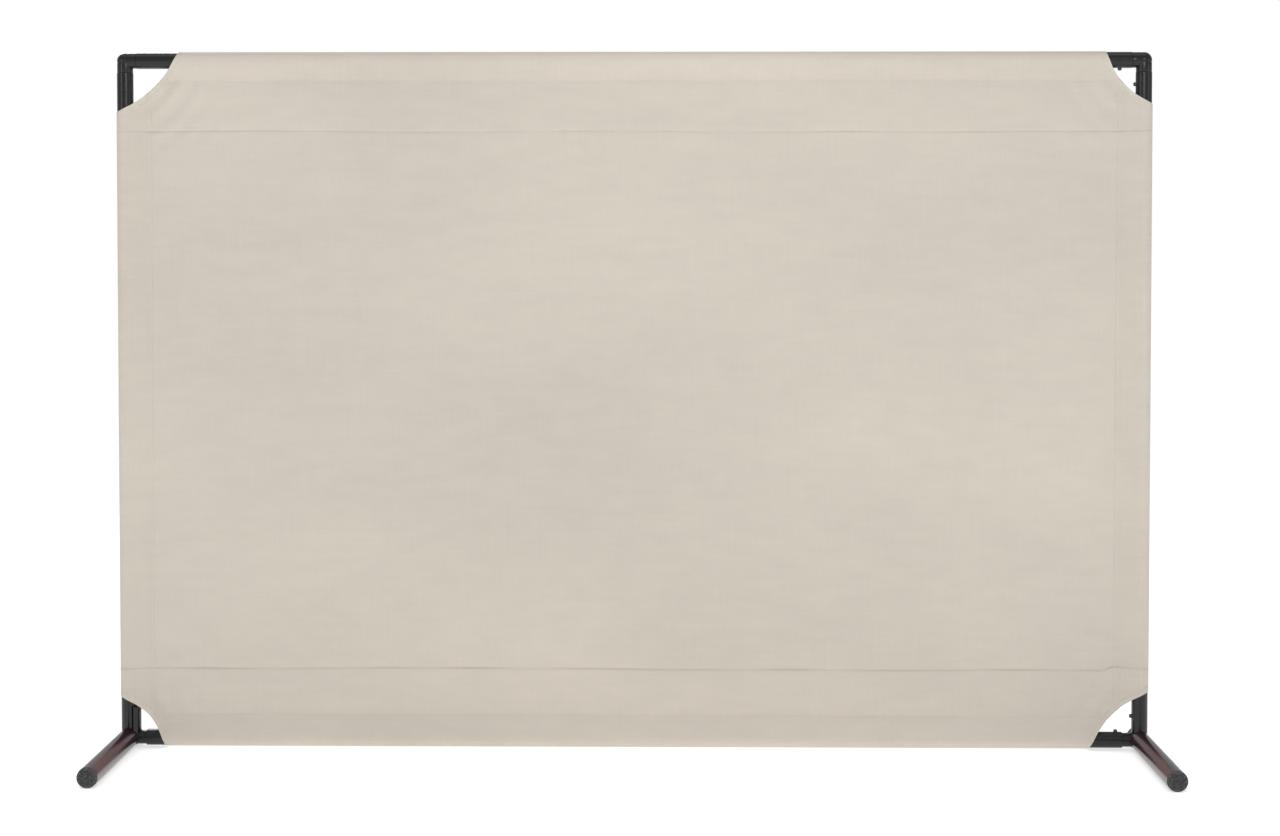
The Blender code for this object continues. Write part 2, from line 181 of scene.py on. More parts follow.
class ScreenStage(bpy.types.PropertyGroup):
    """The camera and the light."""

    distance: FloatProperty(
        name="Distance", description="Camera to the cover", default=4.0, unit="LENGTH"
    )
    height: FloatProperty(
        name="Height", description="Camera above the bottom rail", default=0.917, unit="LENGTH"
    )
    turn: FloatProperty(
        name="Turn", description="Camera to the left", default=math.radians(0.796), unit="ROTATION"
    )
    tilt: FloatProperty(
        name="Tilt", description="Camera downwards", default=math.radians(1.8), unit="ROTATION"
    )
    lens: FloatProperty(name="Lens", description="Focal length in millimetres", default=63.5)
    drop: FloatProperty(
        name="Lens drop", description="Downward shift of the lens, as a share of the width",
        default=0.0963,
    )
    floor: FloatVectorProperty(
        name="Floor", description="Colour of the floor", subtype="COLOR",
        default=(0.90, 0.90, 0.90),
    )
    glow: FloatProperty(name="Floor light", description="Light of the floor itself", default=0.52)
    sky: FloatProperty(name="Sky light", description="Light from all round", default=0.55)


# Shader building --------------------------------------------------------------------------------


class Value:
    """A number socket of a material. Arithmetic on it adds the Math nodes that work it out."""

    def __init__(self, finish, socket):
        self.finish = finish
        self.socket = socket

    def _math(self, operation, *values):
        return self.finish.node("ShaderNodeMath", {"operation": operation}, *values)

    def __add__(self, other):
        return self._math("ADD", self, other)

    def __sub__(self, other):
        return self._math("SUBTRACT", self, other)

    def __rsub__(self, other):
        return self._math("SUBTRACT", other, self)

    def __mul__(self, other):
        return self._math("MULTIPLY", self, other)

    def __truediv__(self, other):
        return self._math("DIVIDE", self, other)

    def __rtruediv__(self, other):
        return self._math("DIVIDE", other, self)

    def __abs__(self):
        return self._math("ABSOLUTE", self)

    __radd__ = __add__
    __rmul__ = __mul__

    def sine(self):
        return self._math("SINE", self)

    def clamp(self):
        return self.finish.node("ShaderNodeClamp", {}, self)


class Finish:
    """A material under construction: its tree, its Principled shader and its coordinates."""

    def __init__(self, name):
        self.material = bpy.data.materials.new(name)
        self.material.use_nodes = True
        self.tree = self.material.node_tree
        self.shader = self.tree.nodes["Principled BSDF"]

    def node(self, kind, settings, *values, output=0, **named):
        """Adds a node: its settings first, then the values or links of its inputs."""
        made = self.tree.nodes.new(kind)
        for name, setting in settings.items():
            setattr(made, name, setting)
        for at, value in enumerate(values):
            self.feed(made.inputs[at], value)
        for name, value in named.items():
            self.feed(made.inputs[name.replace("_", " ")], value)
        return Value(self, made.outputs[output])

    def feed(self, socket, value):
        if isinstance(value, Value):
            self.tree.links.new(value.socket, socket)
        elif value is not None:
            socket.default_value = value

    def place(self):
        return self.node("ShaderNodeTexCoord", {}, output="Object")

    def sewn(self):
        return self.node("ShaderNodeUVMap", {"uv_map": "flat"})

    def stretched(self, coordinates, scale):
        return self.node("ShaderNodeVectorMath", {"operation": "MULTIPLY"}, coordinates, scale)

    def noise(self, coordinates, scale, detail=3.0, roughness=0.55):
        numbers = {"Scale": scale, "Detail": detail, "Roughness": roughness}
        return self.node("ShaderNodeTexNoise", {}, Vector=coordinates, **numbers)

    def parts(self, coordinates):
        """The three numbers of a vector."""
        split = self.node("ShaderNodeSeparateXYZ", {}, coordinates)
        return [Value(self, output) for output in split.socket.node.outputs]

    def mix(self, factor, *colours):
        """A colour between two colours, which are the node's seventh and eighth inputs."""
        ends = [end if isinstance(end, Value) else (*end, 1.0) for end in colours]
        values = (factor, *[None] * 5, *ends)
        return self.node("ShaderNodeMix", {"data_type": "RGBA"}, *values, output=2)

    def bump(self, height, strength, distance, normal=None):
        sockets = {"Strength": strength, "Distance": distance, "Height": height}
        return self.node("ShaderNodeBump", {}, Normal=normal, **sockets)

    def done(self, **sockets):
        for name, value in sockets.items():
            self.feed(self.shader.inputs[name.replace("_", " ")], value)
        return self.material


def shaded(colour, share):
    return tuple(channel * share for channel in colour)


def powder_coat(name, colour, reflection=None):
    """Black gloss powder coat: fine orange peel, a few dusty patches, a duller bloom; given a
    reflection colour, a painted reflection band along the leg's upper inboard side.
    """
    finish = Finish(name)
    place = finish.place()
    peel = finish.noise(place, 620.0, 2.0)
    bloom = finish.noise(place, 9.0, 4.0)
    dust = finish.noise(finish.stretched(place, (1.0, 1.0, 0.4)), 60.0, 6.0, 0.7)
    grey = finish.mix((dust * 1.6 - 0.72).clamp() * 0.5, colour, shaded(colour, 2.6))
    if reflection is not None:
        # Painted reflection: a dark red band on the upper inboard side of each leg, strongest
        # towards the front cap.
        x, y, z = finish.parts(place)
        across = abs(x) * -1 + AXIS_X
        facing = (across + (z - AXIS_BOTTOM)) / (LEG_R * math.sqrt(2))
        towards_cap = (0.75 - y * 3.0).clamp()
        painted_reflection = ((facing - 0.70) * 5.0).clamp() * towards_cap * (bloom * 0.5 + 0.75)
        grey = finish.mix(painted_reflection, grey, reflection)
    return finish.done(
        Base_Color=grey,
        Roughness=0.17 + bloom * 0.10 + (dust * 0.9 - 0.45).clamp() * 0.3,
        Normal=finish.bump(peel, 0.12, 0.0003),
        Specular_IOR_Level=0.38,
    )


def moulded_plastic(name, colour):
    """Dull, grained cap plastic with scuffs."""
    finish = Finish(name)
    place = finish.place()
    grain = finish.noise(place, 1100.0, 3.0, 0.7)
    scuff = finish.noise(place, 260.0, 4.0, 0.65)
    worn = (scuff * 4.0 - 1.5).clamp()
    return finish.done(
        Base_Color=finish.mix(worn, shaded(colour, 0.45), shaded(colour, 1.9)),
        Roughness=0.62 + grain * 0.2,
        Normal=finish.bump(grain + scuff * 1.5, 0.55, 0.0005),
    )


def plated_steel(name, colour, roughness):
    """Turned and plated steel with fine marks."""
    finish = Finish(name)
    place = finish.place()
    marks = finish.noise(place, 900.0, 4.0, 0.6)
    tarnish = finish.noise(place, 120.0, 3.0)
    return finish.done(
        Base_Color=finish.mix(tarnish, shaded(colour, 0.7), shaded(colour, 1.3)),
        Metallic=1.0,
        Roughness=roughness + marks * 0.18,
        Normal=finish.bump(marks, 0.1, 0.0002),
    )


def weld_steel(name, colour):
    """The bead under the same coat: blacker in the ripples and a little rougher."""
    finish = Finish(name)
    place = finish.place()
    grain = finish.noise(place, 500.0, 4.0, 0.6)
    return finish.done(
        Base_Color=finish.mix(grain, shaded(colour, 0.5), shaded(colour, 1.2)),
        Roughness=0.30 + grain * 0.2,
        Normal=finish.bump(grain, 0.2, 0.0004),
        Specular_IOR_Level=0.3,
    )


def canvas(name, settings, colour):
    """Plain-woven canvas: yarns over and under, slubs along them, faint fading and handling, and
    painted shade along the seams and in the creases beside the tubes.
    """
    finish = Finish(name)
    flat = finish.sewn()
    u, v, _ = finish.parts(flat)
    uneven = finish.noise(flat, 90.0, 2.0) * 4.0
    warp = (u * (math.pi / settings.thread) + uneven).sine()
    weft = (v * (math.pi / settings.thread) + uneven).sine()
    over = warp * warp * 0.5 + weft * weft * 0.5
    crossing = warp * weft * 0.35
    slub = finish.noise(finish.stretched(flat, (7.0, 260.0, 1.0)), 1.0, 3.0, 0.6)
    upright_slub = finish.noise(finish.stretched(flat, (240.0, 10.0, 1.0)), 1.0, 2.0, 0.6)
    cloud = finish.noise(finish.stretched(flat, (1.3, 2.2, 1.0)), 1.0, 4.0, 0.5)
    mottle = finish.noise(finish.stretched(flat, (14.0, 40.0, 1.0)), 1.0, 5.0, 0.65)
    streak = (slub - 0.5) * 0.30 + (upright_slub - 0.5) * 0.24
    tone = (0.5 + streak + (cloud - 0.5) * 1.1 + (mottle - 0.5) * 0.52).clamp()
    woven = finish.mix(tone, shaded(colour, 0.855), shaded(colour, 1.105))
    # Painted shade: the sewn attribute darkens the cloth along each seam and in the crease beside
    # each tube.
    sewn = finish.node("ShaderNodeAttribute", {"attribute_name": "sewn"}, output="Fac")
    woven = finish.mix(sewn, woven, shaded(colour, 0.42))
    yarn = finish.bump(over + crossing, 0.22, 0.00022)
    return finish.done(
        Base_Color=woven,
        Roughness=0.82 + (slub - 0.5) * 0.12,
        Normal=finish.bump(slub * 0.8 + mottle * 0.6, 0.22, 0.0006, yarn),
        Sheen_Weight=0.12,
        Sheen_Roughness=0.6,
        Specular_IOR_Level=0.28,
    )


def thread(name, colour):
    """Spun polyester sewing thread."""
    finish = Finish(name)
    ply = finish.noise(finish.place(), 1500.0, 2.0)
    return finish.done(
        Base_Color=finish.mix(ply, shaded(colour, 0.85), shaded(colour, 1.12)),
        Roughness=0.6 + ply * 0.2,
        Normal=finish.bump(ply, 0.2, 0.0002),
    )


FINISHES = {}


def finish_named(name, make, *values):
    """The finish of this name, made the first time that it is asked for."""
    if name not in FINISHES:
        FINISHES[name] = make(name, *values)
    return FINISHES[name]


# Mesh building ----------------------------------------------------------------------------------


def basis(origin, across, outward):
    """The matrix that puts local X along across and local Z along outward, at origin."""
    turn = Matrix((across, outward.cross(across), outward)).transposed().to_4x4()
    return Matrix.Translation(origin) @ turn


SHARP = math.radians(34)  # edges that turn further than this stay crisp
CLOTH_SHARP = math.radians(80)  # and on cloth


def crisp(mesh, angle=SHARP):
    """The mesh shaded smooth, with its sharper edges kept."""
    mesh.shade_smooth()
    mesh.set_sharp_from_angle(angle=angle)
    return mesh


def mesh_from(name, shape):
    mesh = bpy.data.meshes.new(name)
    shape.to_mesh(mesh)
    shape.free()
    return mesh


def lathe(name, profile, place, sides, ring=False):
    """A profile of (radius, height) points turned about local Z."""
    shape = bmesh.new()
    points = [shape.verts.new((radius, 0, height)) for radius, height in profile]
    pairs = list(zip(points, points[1:])) + ([(points[-1], points[0])] if ring else [])
    edges = [shape.edges.new(pair) for pair in pairs]
    turned = {"axis": (0, 0, 1), "cent": (0, 0, 0), "angle": TAU}
    bmesh.ops.spin(shape, geom=points + edges, steps=sides, **turned)
    bmesh.ops.remove_doubles(shape, verts=shape.verts, dist=1e-6)
    bmesh.ops.recalc_face_normals(shape, faces=shape.faces)
    shape.transform(place)
    return crisp(mesh_from(name, shape))


def link(name, data):
    obj = bpy.data.objects.new(name, data)
    bpy.context.scene.collection.objects.link(obj)
    return obj


def baked(obj):
    """The object's evaluated mesh, with the object itself removed."""
    graph = bpy.context.evaluated_depsgraph_get()
    mesh = bpy.data.meshes.new_from_object(
        obj.evaluated_get(graph), preserve_all_data_layers=True, depsgraph=graph
    )
    bpy.data.objects.remove(obj)
    return mesh


def combined(name, base, operation, others):
    """base joined with, or cut by, the other meshes."""
    obj = link(name, base)
    helpers = [link(f"{name}_helper", other) for other in others]
    for helper in helpers:
        step = obj.modifiers.new("combine", "BOOLEAN")
        step.operation = operation
        step.object = helper
    mesh = baked(obj)
    for helper in helpers:
        bpy.data.objects.remove(helper)
    return crisp(mesh)


def thickened(name, shape, thick):
    """Cloth of this thickness, half to each side of the shape."""
    obj = link(name, crisp(mesh_from(name, shape), CLOTH_SHARP))
    wall = obj.modifiers.new("thickness", "SOLIDIFY")
    wall.thickness = thick
    wall.offset = 0
    return baked(obj)


def finished(name, mesh, material, replaces=(), body=SCREEN):
    """A finished piece on its body, with its material and the CAD nodes it stands for."""
    mesh.materials.clear()
    mesh.materials.append(material)
    mesh.name = name
    obj = link(name, mesh)
    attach(obj, body)
    if replaces:
        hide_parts(*replaces)
    return obj


def rounded(points, radius, steps=3):
    """A profile with each of its inner corners eased by a short curve."""
    eased = [points[0]]
    for before, at, after in zip(points, points[1:], points[2:]):
        here = Vector(at)
        towards = [(Vector(other) - here) for other in (before, after)]
        reach = min(radius, *(0.45 * way.length for way in towards))
        first, last = (here + way.normalized() * reach for way in towards)
        for step in range(steps + 1):
            share = step / steps
            near = first.lerp(here, share).lerp(here.lerp(last, share), share)
            eased.append(tuple(near))
    return eased + [points[-1]]


def tube_profile(outer, wall, start, end, ease):
    """The closed section of a tube's wall, its sawn edges eased."""
    inner = outer - wall
    return [
        (outer, start + ease),
        (outer, end - ease),
        (outer - ease, end),
        (inner + ease, end),
        (inner, end - ease),
        (inner, start + ease),
        (inner + ease, start),
        (outer - ease, start),
    ]


def rod(radius, start, end, place, sides=48):
    return lathe("rod", [(0, end), (radius, end), (radius, start), (0, start)], place, sides)


def circle(radius, steps):
    """Points round a circle in local X and Y, the first one again at the end."""
    turns = [TAU * step / steps for step in range(steps + 1)]
    return [Vector((radius * math.cos(turn), radius * math.sin(turn), 0)) for turn in turns]


ALONG = "pieces_along_path"
ALONG_INPUTS = {
    "Spacing": ("Float", 0.004),
    "Length": ("Float", 0.003),
    "Width": ("Float", 0.001),
    "Height": ("Float", 0.001),
    "Segments": ("Int", 6),
    "Rings": ("Int", 4),
    "Material": ("Material", None),
}
ALONG_NODES = {
    "given": "NodeGroupInput",
    "path": "GeometryNodeMeshToCurve",
    "even": "GeometryNodeResampleCurve",
    "ball": "GeometryNodeMeshUVSphere",
    "size": "ShaderNodeCombineXYZ",
    "scaled": "GeometryNodeTransform",
    "heading": "GeometryNodeInputTangent",
    "turned": "FunctionNodeAlignRotationToVector",
    "placed": "GeometryNodeInstanceOnPoints",
    "real": "GeometryNodeRealizeInstances",
    "smooth": "GeometryNodeSetShadeSmooth",
    "painted": "GeometryNodeSetMaterial",
    "out": "NodeGroupOutput",
}
ALONG_LINKS = (
    ("given", "Geometry", "path", "Mesh"),
    ("path", 0, "even", "Curve"),
    ("given", "Spacing", "even", "Length"),
    ("given", "Length", "size", "X"),
    ("given", "Width", "size", "Y"),
    ("given", "Height", "size", "Z"),
    ("given", "Segments", "ball", "Segments"),
    ("given", "Rings", "ball", "Rings"),
    ("ball", "Mesh", "scaled", "Geometry"),
    ("size", 0, "scaled", "Scale"),
    ("heading", 0, "turned", "Vector"),
    ("even", 0, "placed", "Points"),
    ("scaled", 0, "placed", "Instance"),
    ("turned", 0, "placed", "Rotation"),
    ("placed", 0, "real", 0),
    ("real", 0, "smooth", 0),
    ("smooth", 0, "painted", "Geometry"),
    ("given", "Material", "painted", "Material"),
    ("painted", 0, "out", 0),
)


def along_tree():
    """Geometry Nodes: small rounded pieces set at even distances along every edge path."""
    if ALONG in bpy.data.node_groups:
        return bpy.data.node_groups[ALONG]
    tree = bpy.data.node_groups.new(ALONG, "GeometryNodeTree")
    socket = tree.interface.new_socket
    socket("Geometry", in_out="INPUT", socket_type="NodeSocketGeometry")
    for label, (kind, start) in ALONG_INPUTS.items():
        made = socket(label, in_out="INPUT", socket_type=f"NodeSocket{kind}")
        if start is not None:
            made.default_value = start
    socket("Geometry", in_out="OUTPUT", socket_type="NodeSocketGeometry")
    nodes = {label: tree.nodes.new(kind) for label, kind in ALONG_NODES.items()}
    nodes["even"].mode = "LENGTH"
    nodes["ball"].inputs["Radius"].default_value = 0.5
    nodes["turned"].axis = "X"
    for source, output, target, entry in ALONG_LINKS:
        tree.links.new(nodes[source].outputs[output], nodes[target].inputs[entry])
    return tree


def set_along(name, paths, material, spacing, size, segments=6, rings=4):
    """A mesh of rounded pieces, each of the size (length, width, height), along the paths."""
    shape = bmesh.new()
    for path in paths:
        points = [shape.verts.new(point) for point in path]
        for pair in zip(points, points[1:]):
            shape.edges.new(pair)
    obj = link(name, mesh_from(name, shape))
    step = obj.modifiers.new("along", "NODES")
    step.node_group = along_tree()
    values = dict(zip(ALONG_INPUTS, (spacing, *size, segments, rings, material)))
    for item in step.node_group.interface.items_tree:
        if item.name in values:
            step[item.identifier] = values[item.name]
    return baked(obj)


# Steel ------------------------------------------------------------------------------------------


def steel():
    return bpy.context.scene.screen_steel


def cloth():
    return bpy.context.scene.screen_cloth


def coated(name, mesh, node):
    """A piece in gloss black powder coat that stands for one CAD node."""
    coat = finish_named("gloss_powder_coat", powder_coat, steel().coat)
    return finished(name, mesh, coat, [node])


def corner_point(corner):
    side, level = CORNERS[corner]
    return Vector((side * AXIS_X, PLANE, AXIS_TOP if level > 0 else AXIS_BOTTOM))


def directions(corner, tube):
    """Unit vectors at a corner: along the tube, and out through its snap button."""
    side, level = CORNERS[corner]
    inboard, inward = RIGHT * -side, UP * -level
    along, facing = (inboard, inward) if tube == "rail" else (inward, inboard)
    return along, facing if side > 0 else BACK


def span(node, corner, way):
    """Where a node starts and ends along a way, from a corner's point."""
    return sorted((point - corner_point(corner)).dot(way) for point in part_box(node))


def button_place(corner, tube):
    """Local Z out through the button, from the tube's axis."""
    along, out = directions(corner, tube)
    spot = middle(f"{corner}_{tube}_button")
    axis = corner_point(corner)
    return basis(axis + along * (spot - axis).dot(along), along, out)


def hole(corner, tube):
    """The round hole that a button stands in."""
    return rod(HOLE_R, SPIGOT_R / 2, LEG_R + 0.005, button_place(corner, tube), 32)


def over_foot(hand):
    """The cuts that fit a piece round a leg tube and its rail spigot."""
    axis = corner_point(f"bottom_{hand}")
    along, _ = directions(f"bottom_{hand}", "rail")
    return [
        rod(LEG_R + FIT, -0.04, 0.04, basis(axis, RIGHT, BACK), steel().sides),
        rod(SPIGOT_R + FIT, 0, 0.08, basis(axis, UP, along), steel().sides),
    ]


def node_ends(node, axis):
    low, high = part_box(node)
    return low[axis], high[axis]


def tube_of(node, place, outer, wall, start, end, cuts=()):
    """A length of tube, with its holes and copes cut."""
    section = tube_profile(outer, wall, start, end, steel().edge)
    body = lathe(node, section, place, steel().sides, ring=True)
    return combined(node, body, "DIFFERENCE", cuts) if cuts else body


class SCREEN_OT_tubes(bpy.types.Operator):
    """Make the two rails and the two uprights with their button holes"""

    bl_idname = "screen.tubes"
    bl_label = "Frame tubes"

    def execute(self, context):
        for level, height in (("top", AXIS_TOP), ("bottom", AXIS_BOTTOM)):
            node = f"{level}_rail"
            place = basis(Vector((0, PLANE, height)), UP, RIGHT)
            cuts = [hole(f"{level}_{hand}", "rail") for hand in HANDS]
            self.tube(node, place, *node_ends(node, 0), cuts)
        for hand, side in HANDS.items():
            node = f"{hand}_upright"
            place = basis(Vector((side * AXIS_X, PLANE, 0)), RIGHT, UP)
            cuts = [hole(f"{level}_{hand}", "upright") for level in LEVELS] + over_foot(hand)
            self.tube(node, place, AXIS_BOTTOM, node_ends(node, 2)[1], cuts)
        return {"FINISHED"}

    def tube(self, node, place, start, end, cuts):
        mesh = tube_of(node, place, TUBE_R, steel().wall, start, end, cuts)
        coated(f"{node}_tube", mesh, node)


class SCREEN_OT_elbows(bpy.types.Operator):
    """Make the two cast elbows at the top corners"""

    bl_idname = "screen.elbows"
    bl_label = "Elbows"

    arm_step: FloatProperty(
        name="Arm step", description="Arm inside the tube", default=0.0005, unit="LENGTH"
    )
    hub_reach: FloatProperty(
        name="Hub", description="Length of the hub", default=0.0030, unit="LENGTH"
    )
    groove: FloatProperty(
        name="Groove", description="Depth of the hub's line", default=0.0006, unit="LENGTH"
    )

    def execute(self, context):
        arm, ring = TUBE_R - self.arm_step, self.hub_reach + self.groove
        ball_r = arm + 0.0001
        tilt = Matrix.Rotation(math.radians(3), 4, "X")  # so that no faces coincide
        for corner in ("top_left", "top_right"):
            node = f"{corner}_elbow"
            low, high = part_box(node)
            tube_start = EDGE_X - node_ends("top_rail", 0)[1] - TUBE_R - FIT
            end = (high.x - low.x) - TUBE_R - FIT
            outline = [
                (0, end),
                (SPIGOT_R, end),
                (SPIGOT_R, tube_start),
                (arm, tube_start),
                (arm, ring + self.groove),
                (arm - self.groove, ring),
                (arm, self.hub_reach),
                (arm, -0.001),
                (0, -0.001),
            ]
            profile, arms = rounded(outline, 0.0005), []
            for tube in TUBES:
                along, out = directions(corner, tube)
                place = basis(corner_point(corner), out, along)
                arms.append(lathe(node, profile, place, steel().sides))
            ball = bmesh.new()
            bmesh.ops.create_uvsphere(ball, u_segments=64, v_segments=32, radius=ball_r)
            ball.transform(Matrix.Translation(corner_point(corner)) @ tilt)
            hub = crisp(mesh_from("hub", ball))
            mesh = combined(node, arms[0], "UNION", [arms[1], hub])
            mesh = combined(node, mesh, "DIFFERENCE", [hole(corner, tube) for tube in TUBES])
            coated(f"{node}_casting", mesh, node)
        return {"FINISHED"}


class SCREEN_OT_feet(bpy.types.Operator):
    """Make the leg tubes, their spigots and the saddle beside the left upright"""

    bl_idname = "screen.feet"
    bl_label = "Feet"

    def execute(self, context):
        settings = steel()
        # The legs' coat has a painted reflection band along its upper inboard side.
        reflection_painted_coat = finish_named("leg_powder_coat", powder_coat, settings.coat, settings.leg_sheen)
        for hand, side in HANDS.items():
            corner, node = f"bottom_{hand}", f"{hand}_leg_tube"
            place = basis(Vector((side * AXIS_X, 0, AXIS_BOTTOM)), RIGHT, BACK)
            mesh = tube_of(node, place, LEG_R, settings.leg_wall, *node_ends(node, 1))
            finished(f"{hand}_leg", mesh, reflection_painted_coat, [node])
            for tube in TUBES:
                node = f"{hand}_{tube}_spigot"
                along, out = directions(corner, tube)
                place = basis(corner_point(corner), out, along)
                _, end = span(node, corner, along)
                # The rail's spigot is coped over the leg, the upright's over both.
                cuts = over_foot(hand)[: 1 if tube == "rail" else 2] + [hole(corner, tube)]
                mesh = tube_of(node, place, SPIGOT_R, settings.wall, 0, end, cuts)
                coated(f"{node}_stub", mesh, node)
        self.saddle()
        return {"FINISHED"}

    def saddle(self):
        """The half-round bar against the upright, its top bevelled under the cloth's edge."""
        node = "left_upright_saddle"
        low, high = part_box(node)
        top, beyond = high.z, 0.08  # beyond: how far the trimming block stands off the bar
        outline = [(0, top), (LEG_R, top), (LEG_R, AXIS_BOTTOM), (0, AXIS_BOTTOM)]
        place = basis(Vector((high.x - LEG_R, PLANE, 0)), RIGHT, UP)
        body = lathe(node, rounded(outline, 0.001), place, steel().sides)
        upright = basis(Vector((-AXIS_X, PLANE, 0)), RIGHT, UP)
        hollow = rod(TUBE_R + FIT, 0, top + 0.001, upright, steel().sides)
        slope = cloth_start("bottom_left", low.x) - cloth_start("bottom_left", high.x)
        outline = [
            (low.x - beyond, -beyond),
            (low.x, -beyond),
            (low.x, top),
            (high.x + FIT, top - slope),
            (high.x + FIT, top + beyond),
            (low.x - beyond, top + beyond),
        ]
        trim = bmesh.new()
        near, far = (
            [trim.verts.new((x, PLANE + way * beyond, z)) for x, z in outline] for way in (-1, 1)
        )
        trim.faces.new(near)
        trim.faces.new(reversed(far))
        for at in range(len(outline)):
            after = (at + 1) % len(outline)
            trim.faces.new((near[after], near[at], far[at], far[after]))
        bmesh.ops.recalc_face_normals(trim, faces=trim.faces)
        cuts = [hollow, crisp(mesh_from("trim", trim)), *over_foot("left")]
        coated("left_saddle_bar", combined(node, body, "DIFFERENCE", cuts), node)


class SCREEN_OT_welds(bpy.types.Operator):
    """Lay the rippled weld beads that hold the rail spigots on the legs"""

    bl_idname = "screen.welds"
    bl_label = "Weld beads"

    ripple: FloatProperty(
        name="Ripple", description="Distance between ripples", default=0.0016, unit="LENGTH"
    )

    def execute(self, context):
        material = finish_named("weld_bead_coat", weld_steel, steel().coat)
        bead = steel().bead
        size = (bead * 0.62, bead * 0.56, bead * 0.56)
        for hand in HANDS:
            corner = f"bottom_{hand}"
            along, _ = directions(corner, "rail")
            across = BACK.cross(along)
            path = []
            for at in circle(SPIGOT_R + 0.0004, 72):
                rise = math.sqrt((LEG_R + 0.0002) ** 2 - at.x**2)
                path.append(corner_point(corner) + along * rise + across * at.x + BACK * at.y)
            mesh = set_along(f"{hand}_welds", [path], material, self.ripple, size, 10, 6)
            finished(f"{hand}_weld_beads", mesh, material)
        return {"FINISHED"}


class SCREEN_OT_caps(bpy.types.Operator):
    """Make the four ribbed plastic caps in the ends of the legs"""

    bl_idname = "screen.caps"
    bl_label = "Leg caps"

    flange: FloatProperty(
        name="Flange", description="Thickness of the flange", default=0.0045, unit="LENGTH"
    )
    ribs: IntProperty(name="Ribs", description="Grip ribs round the flange", default=44)
    stud: FloatProperty(
        name="Studs", description="Distance between the face's studs",
        default=0.0050, unit="LENGTH",
    )
    proud: FloatProperty(
        name="Stud height", description="Height of a stud", default=0.0020, unit="LENGTH"
    )

    def execute(self, context):
        material = finish_named("moulded_cap_plastic", moulded_plastic, steel().plastic)
        barrel = LEG_R - steel().leg_wall - FIT
        for hand, side in HANDS.items():
            for end, outward in (("front", -BACK), ("rear", BACK)):
                node = f"{hand}_{end}_cap"
                low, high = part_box(node)
                face = low.y if end == "front" else high.y
                length, rim = high.y - low.y, (high.x - low.x) / 2
                place = basis(Vector((side * AXIS_X, face, AXIS_BOTTOM)), RIGHT, outward)
                outline = [
                    (0, -self.proud),
                    (rim * 0.90, -self.proud),
                    (rim, -self.proud - 0.0008),
                    (rim, -self.flange),
                    (barrel, -self.flange),
                    (barrel, -length),
                    (barrel - 0.002, -length),
                    (barrel - 0.002, -self.flange),
                    (0, -self.flange),
                ]
                body = lathe(node, rounded(outline, 0.0011, 4), place, steel().sides)
                seat = Vector((0, 0, -0.55 * self.flange))
                path = [place @ (at + seat) for at in circle(rim - 0.0004, 96)]
                spacing = TAU * rim / self.ribs
                size = (spacing * 0.5, self.flange * 0.62, 0.0010)
                ribs = set_along(f"{node}_ribs", [path], material, spacing, size, 8, 6)
                shape = bmesh.new()
                for mesh in (body, ribs, self.studs(node, place, rim * 0.9, material)):
                    shape.from_mesh(mesh)
                mesh = crisp(mesh_from(node, shape))
                finished(f"{node}_plug", mesh, material, [node])
        return {"FINISHED"}

    def studs(self, node, place, radius, material):
        """Pointed studs in staggered rows over the cap's face."""
        paths = []
        row_gap = self.stud * 0.5
        for row in range(-int(radius / row_gap), int(radius / row_gap) + 1):
            height = row * row_gap
            chord = math.sqrt(max(radius**2 - height**2, 0)) - self.stud * 0.3
            count = int(2 * chord / self.stud)
            count -= (count + row) % 2
            if count > 0:
                half_row = count * self.stud / 2
                ends = [Vector((way * half_row, height, -self.proud)) for way in (-1, 1)]
                paths.append([place @ end for end in ends])
        size = (self.stud * 0.86, self.proud * 2, self.stud * 0.86)
        return set_along(f"{node}_studs", paths, material, self.stud * 0.999, size, 4, 2)


class SCREEN_OT_buttons(bpy.types.Operator):
    """Make the eight domed snap buttons, each on its own body"""

    bl_idname = "screen.buttons"
    bl_label = "Snap buttons"

    radius: FloatProperty(
        name="Radius", description="Radius of a button", default=0.0035, unit="LENGTH"
    )

    def execute(self, context):
        material = finish_named("plated_button_steel", plated_steel, steel().zinc, 0.28)
        bright = finish_named("bright_spring_steel", plated_steel, (0.32, 0.33, 0.35), 0.30)
        turns = [math.radians(turn) for turn in range(0, 91, 10)]
        dome = [(math.sin(turn), 1 - math.cos(turn)) for turn in turns]
        for corner in CORNERS:
            for tube in TUBES:
                node = f"{corner}_{tube}_button"
                _, out = directions(corner, tube)
                base, tip = span(node, corner, out)
                head, rim = half(node, 1 if abs(out.x) > 0.5 else 0), base + 0.001
                profile = [(self.radius * across, tip - 0.002 * down) for across, down in dome]
                profile += [(self.radius, rim), (head, rim), (head, base), (0, base)]
                mesh = lathe(node, profile, button_place(corner, tube), 36)
                finished(f"{node}_pin", mesh, material, [node], node)
                self.leaf(corner, tube, bright)
        return {"FINISHED"}

    def leaf(self, corner, tube, material):
        """The V-shaped spring behind a button: a smoothed copy of its CAD node, on its own mesh.
        """
        node, press = f"{corner}_{tube}_spring", f"{corner}_{tube}_button_press"
        shape = bmesh.new()
        shape.from_mesh(frame["nodes"][node].data)
        bmesh.ops.remove_doubles(shape, verts=shape.verts, dist=1e-6)
        mesh = crisp(mesh_from(node, shape))
        leaf = finished(f"{node}_leaf", mesh, material, [node])
        _, out = directions(corner, tube)
        far, near = span(node, corner, out)
        foot = corner_point(corner) + out * far
        travel = next(joint["range_m"][1] for joint in frame["joints"] if joint["name"] == press)
        keep = 1 - travel / (near - far)
        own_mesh(leaf)


# Cloth ------------------------------------------------------------------------------------------


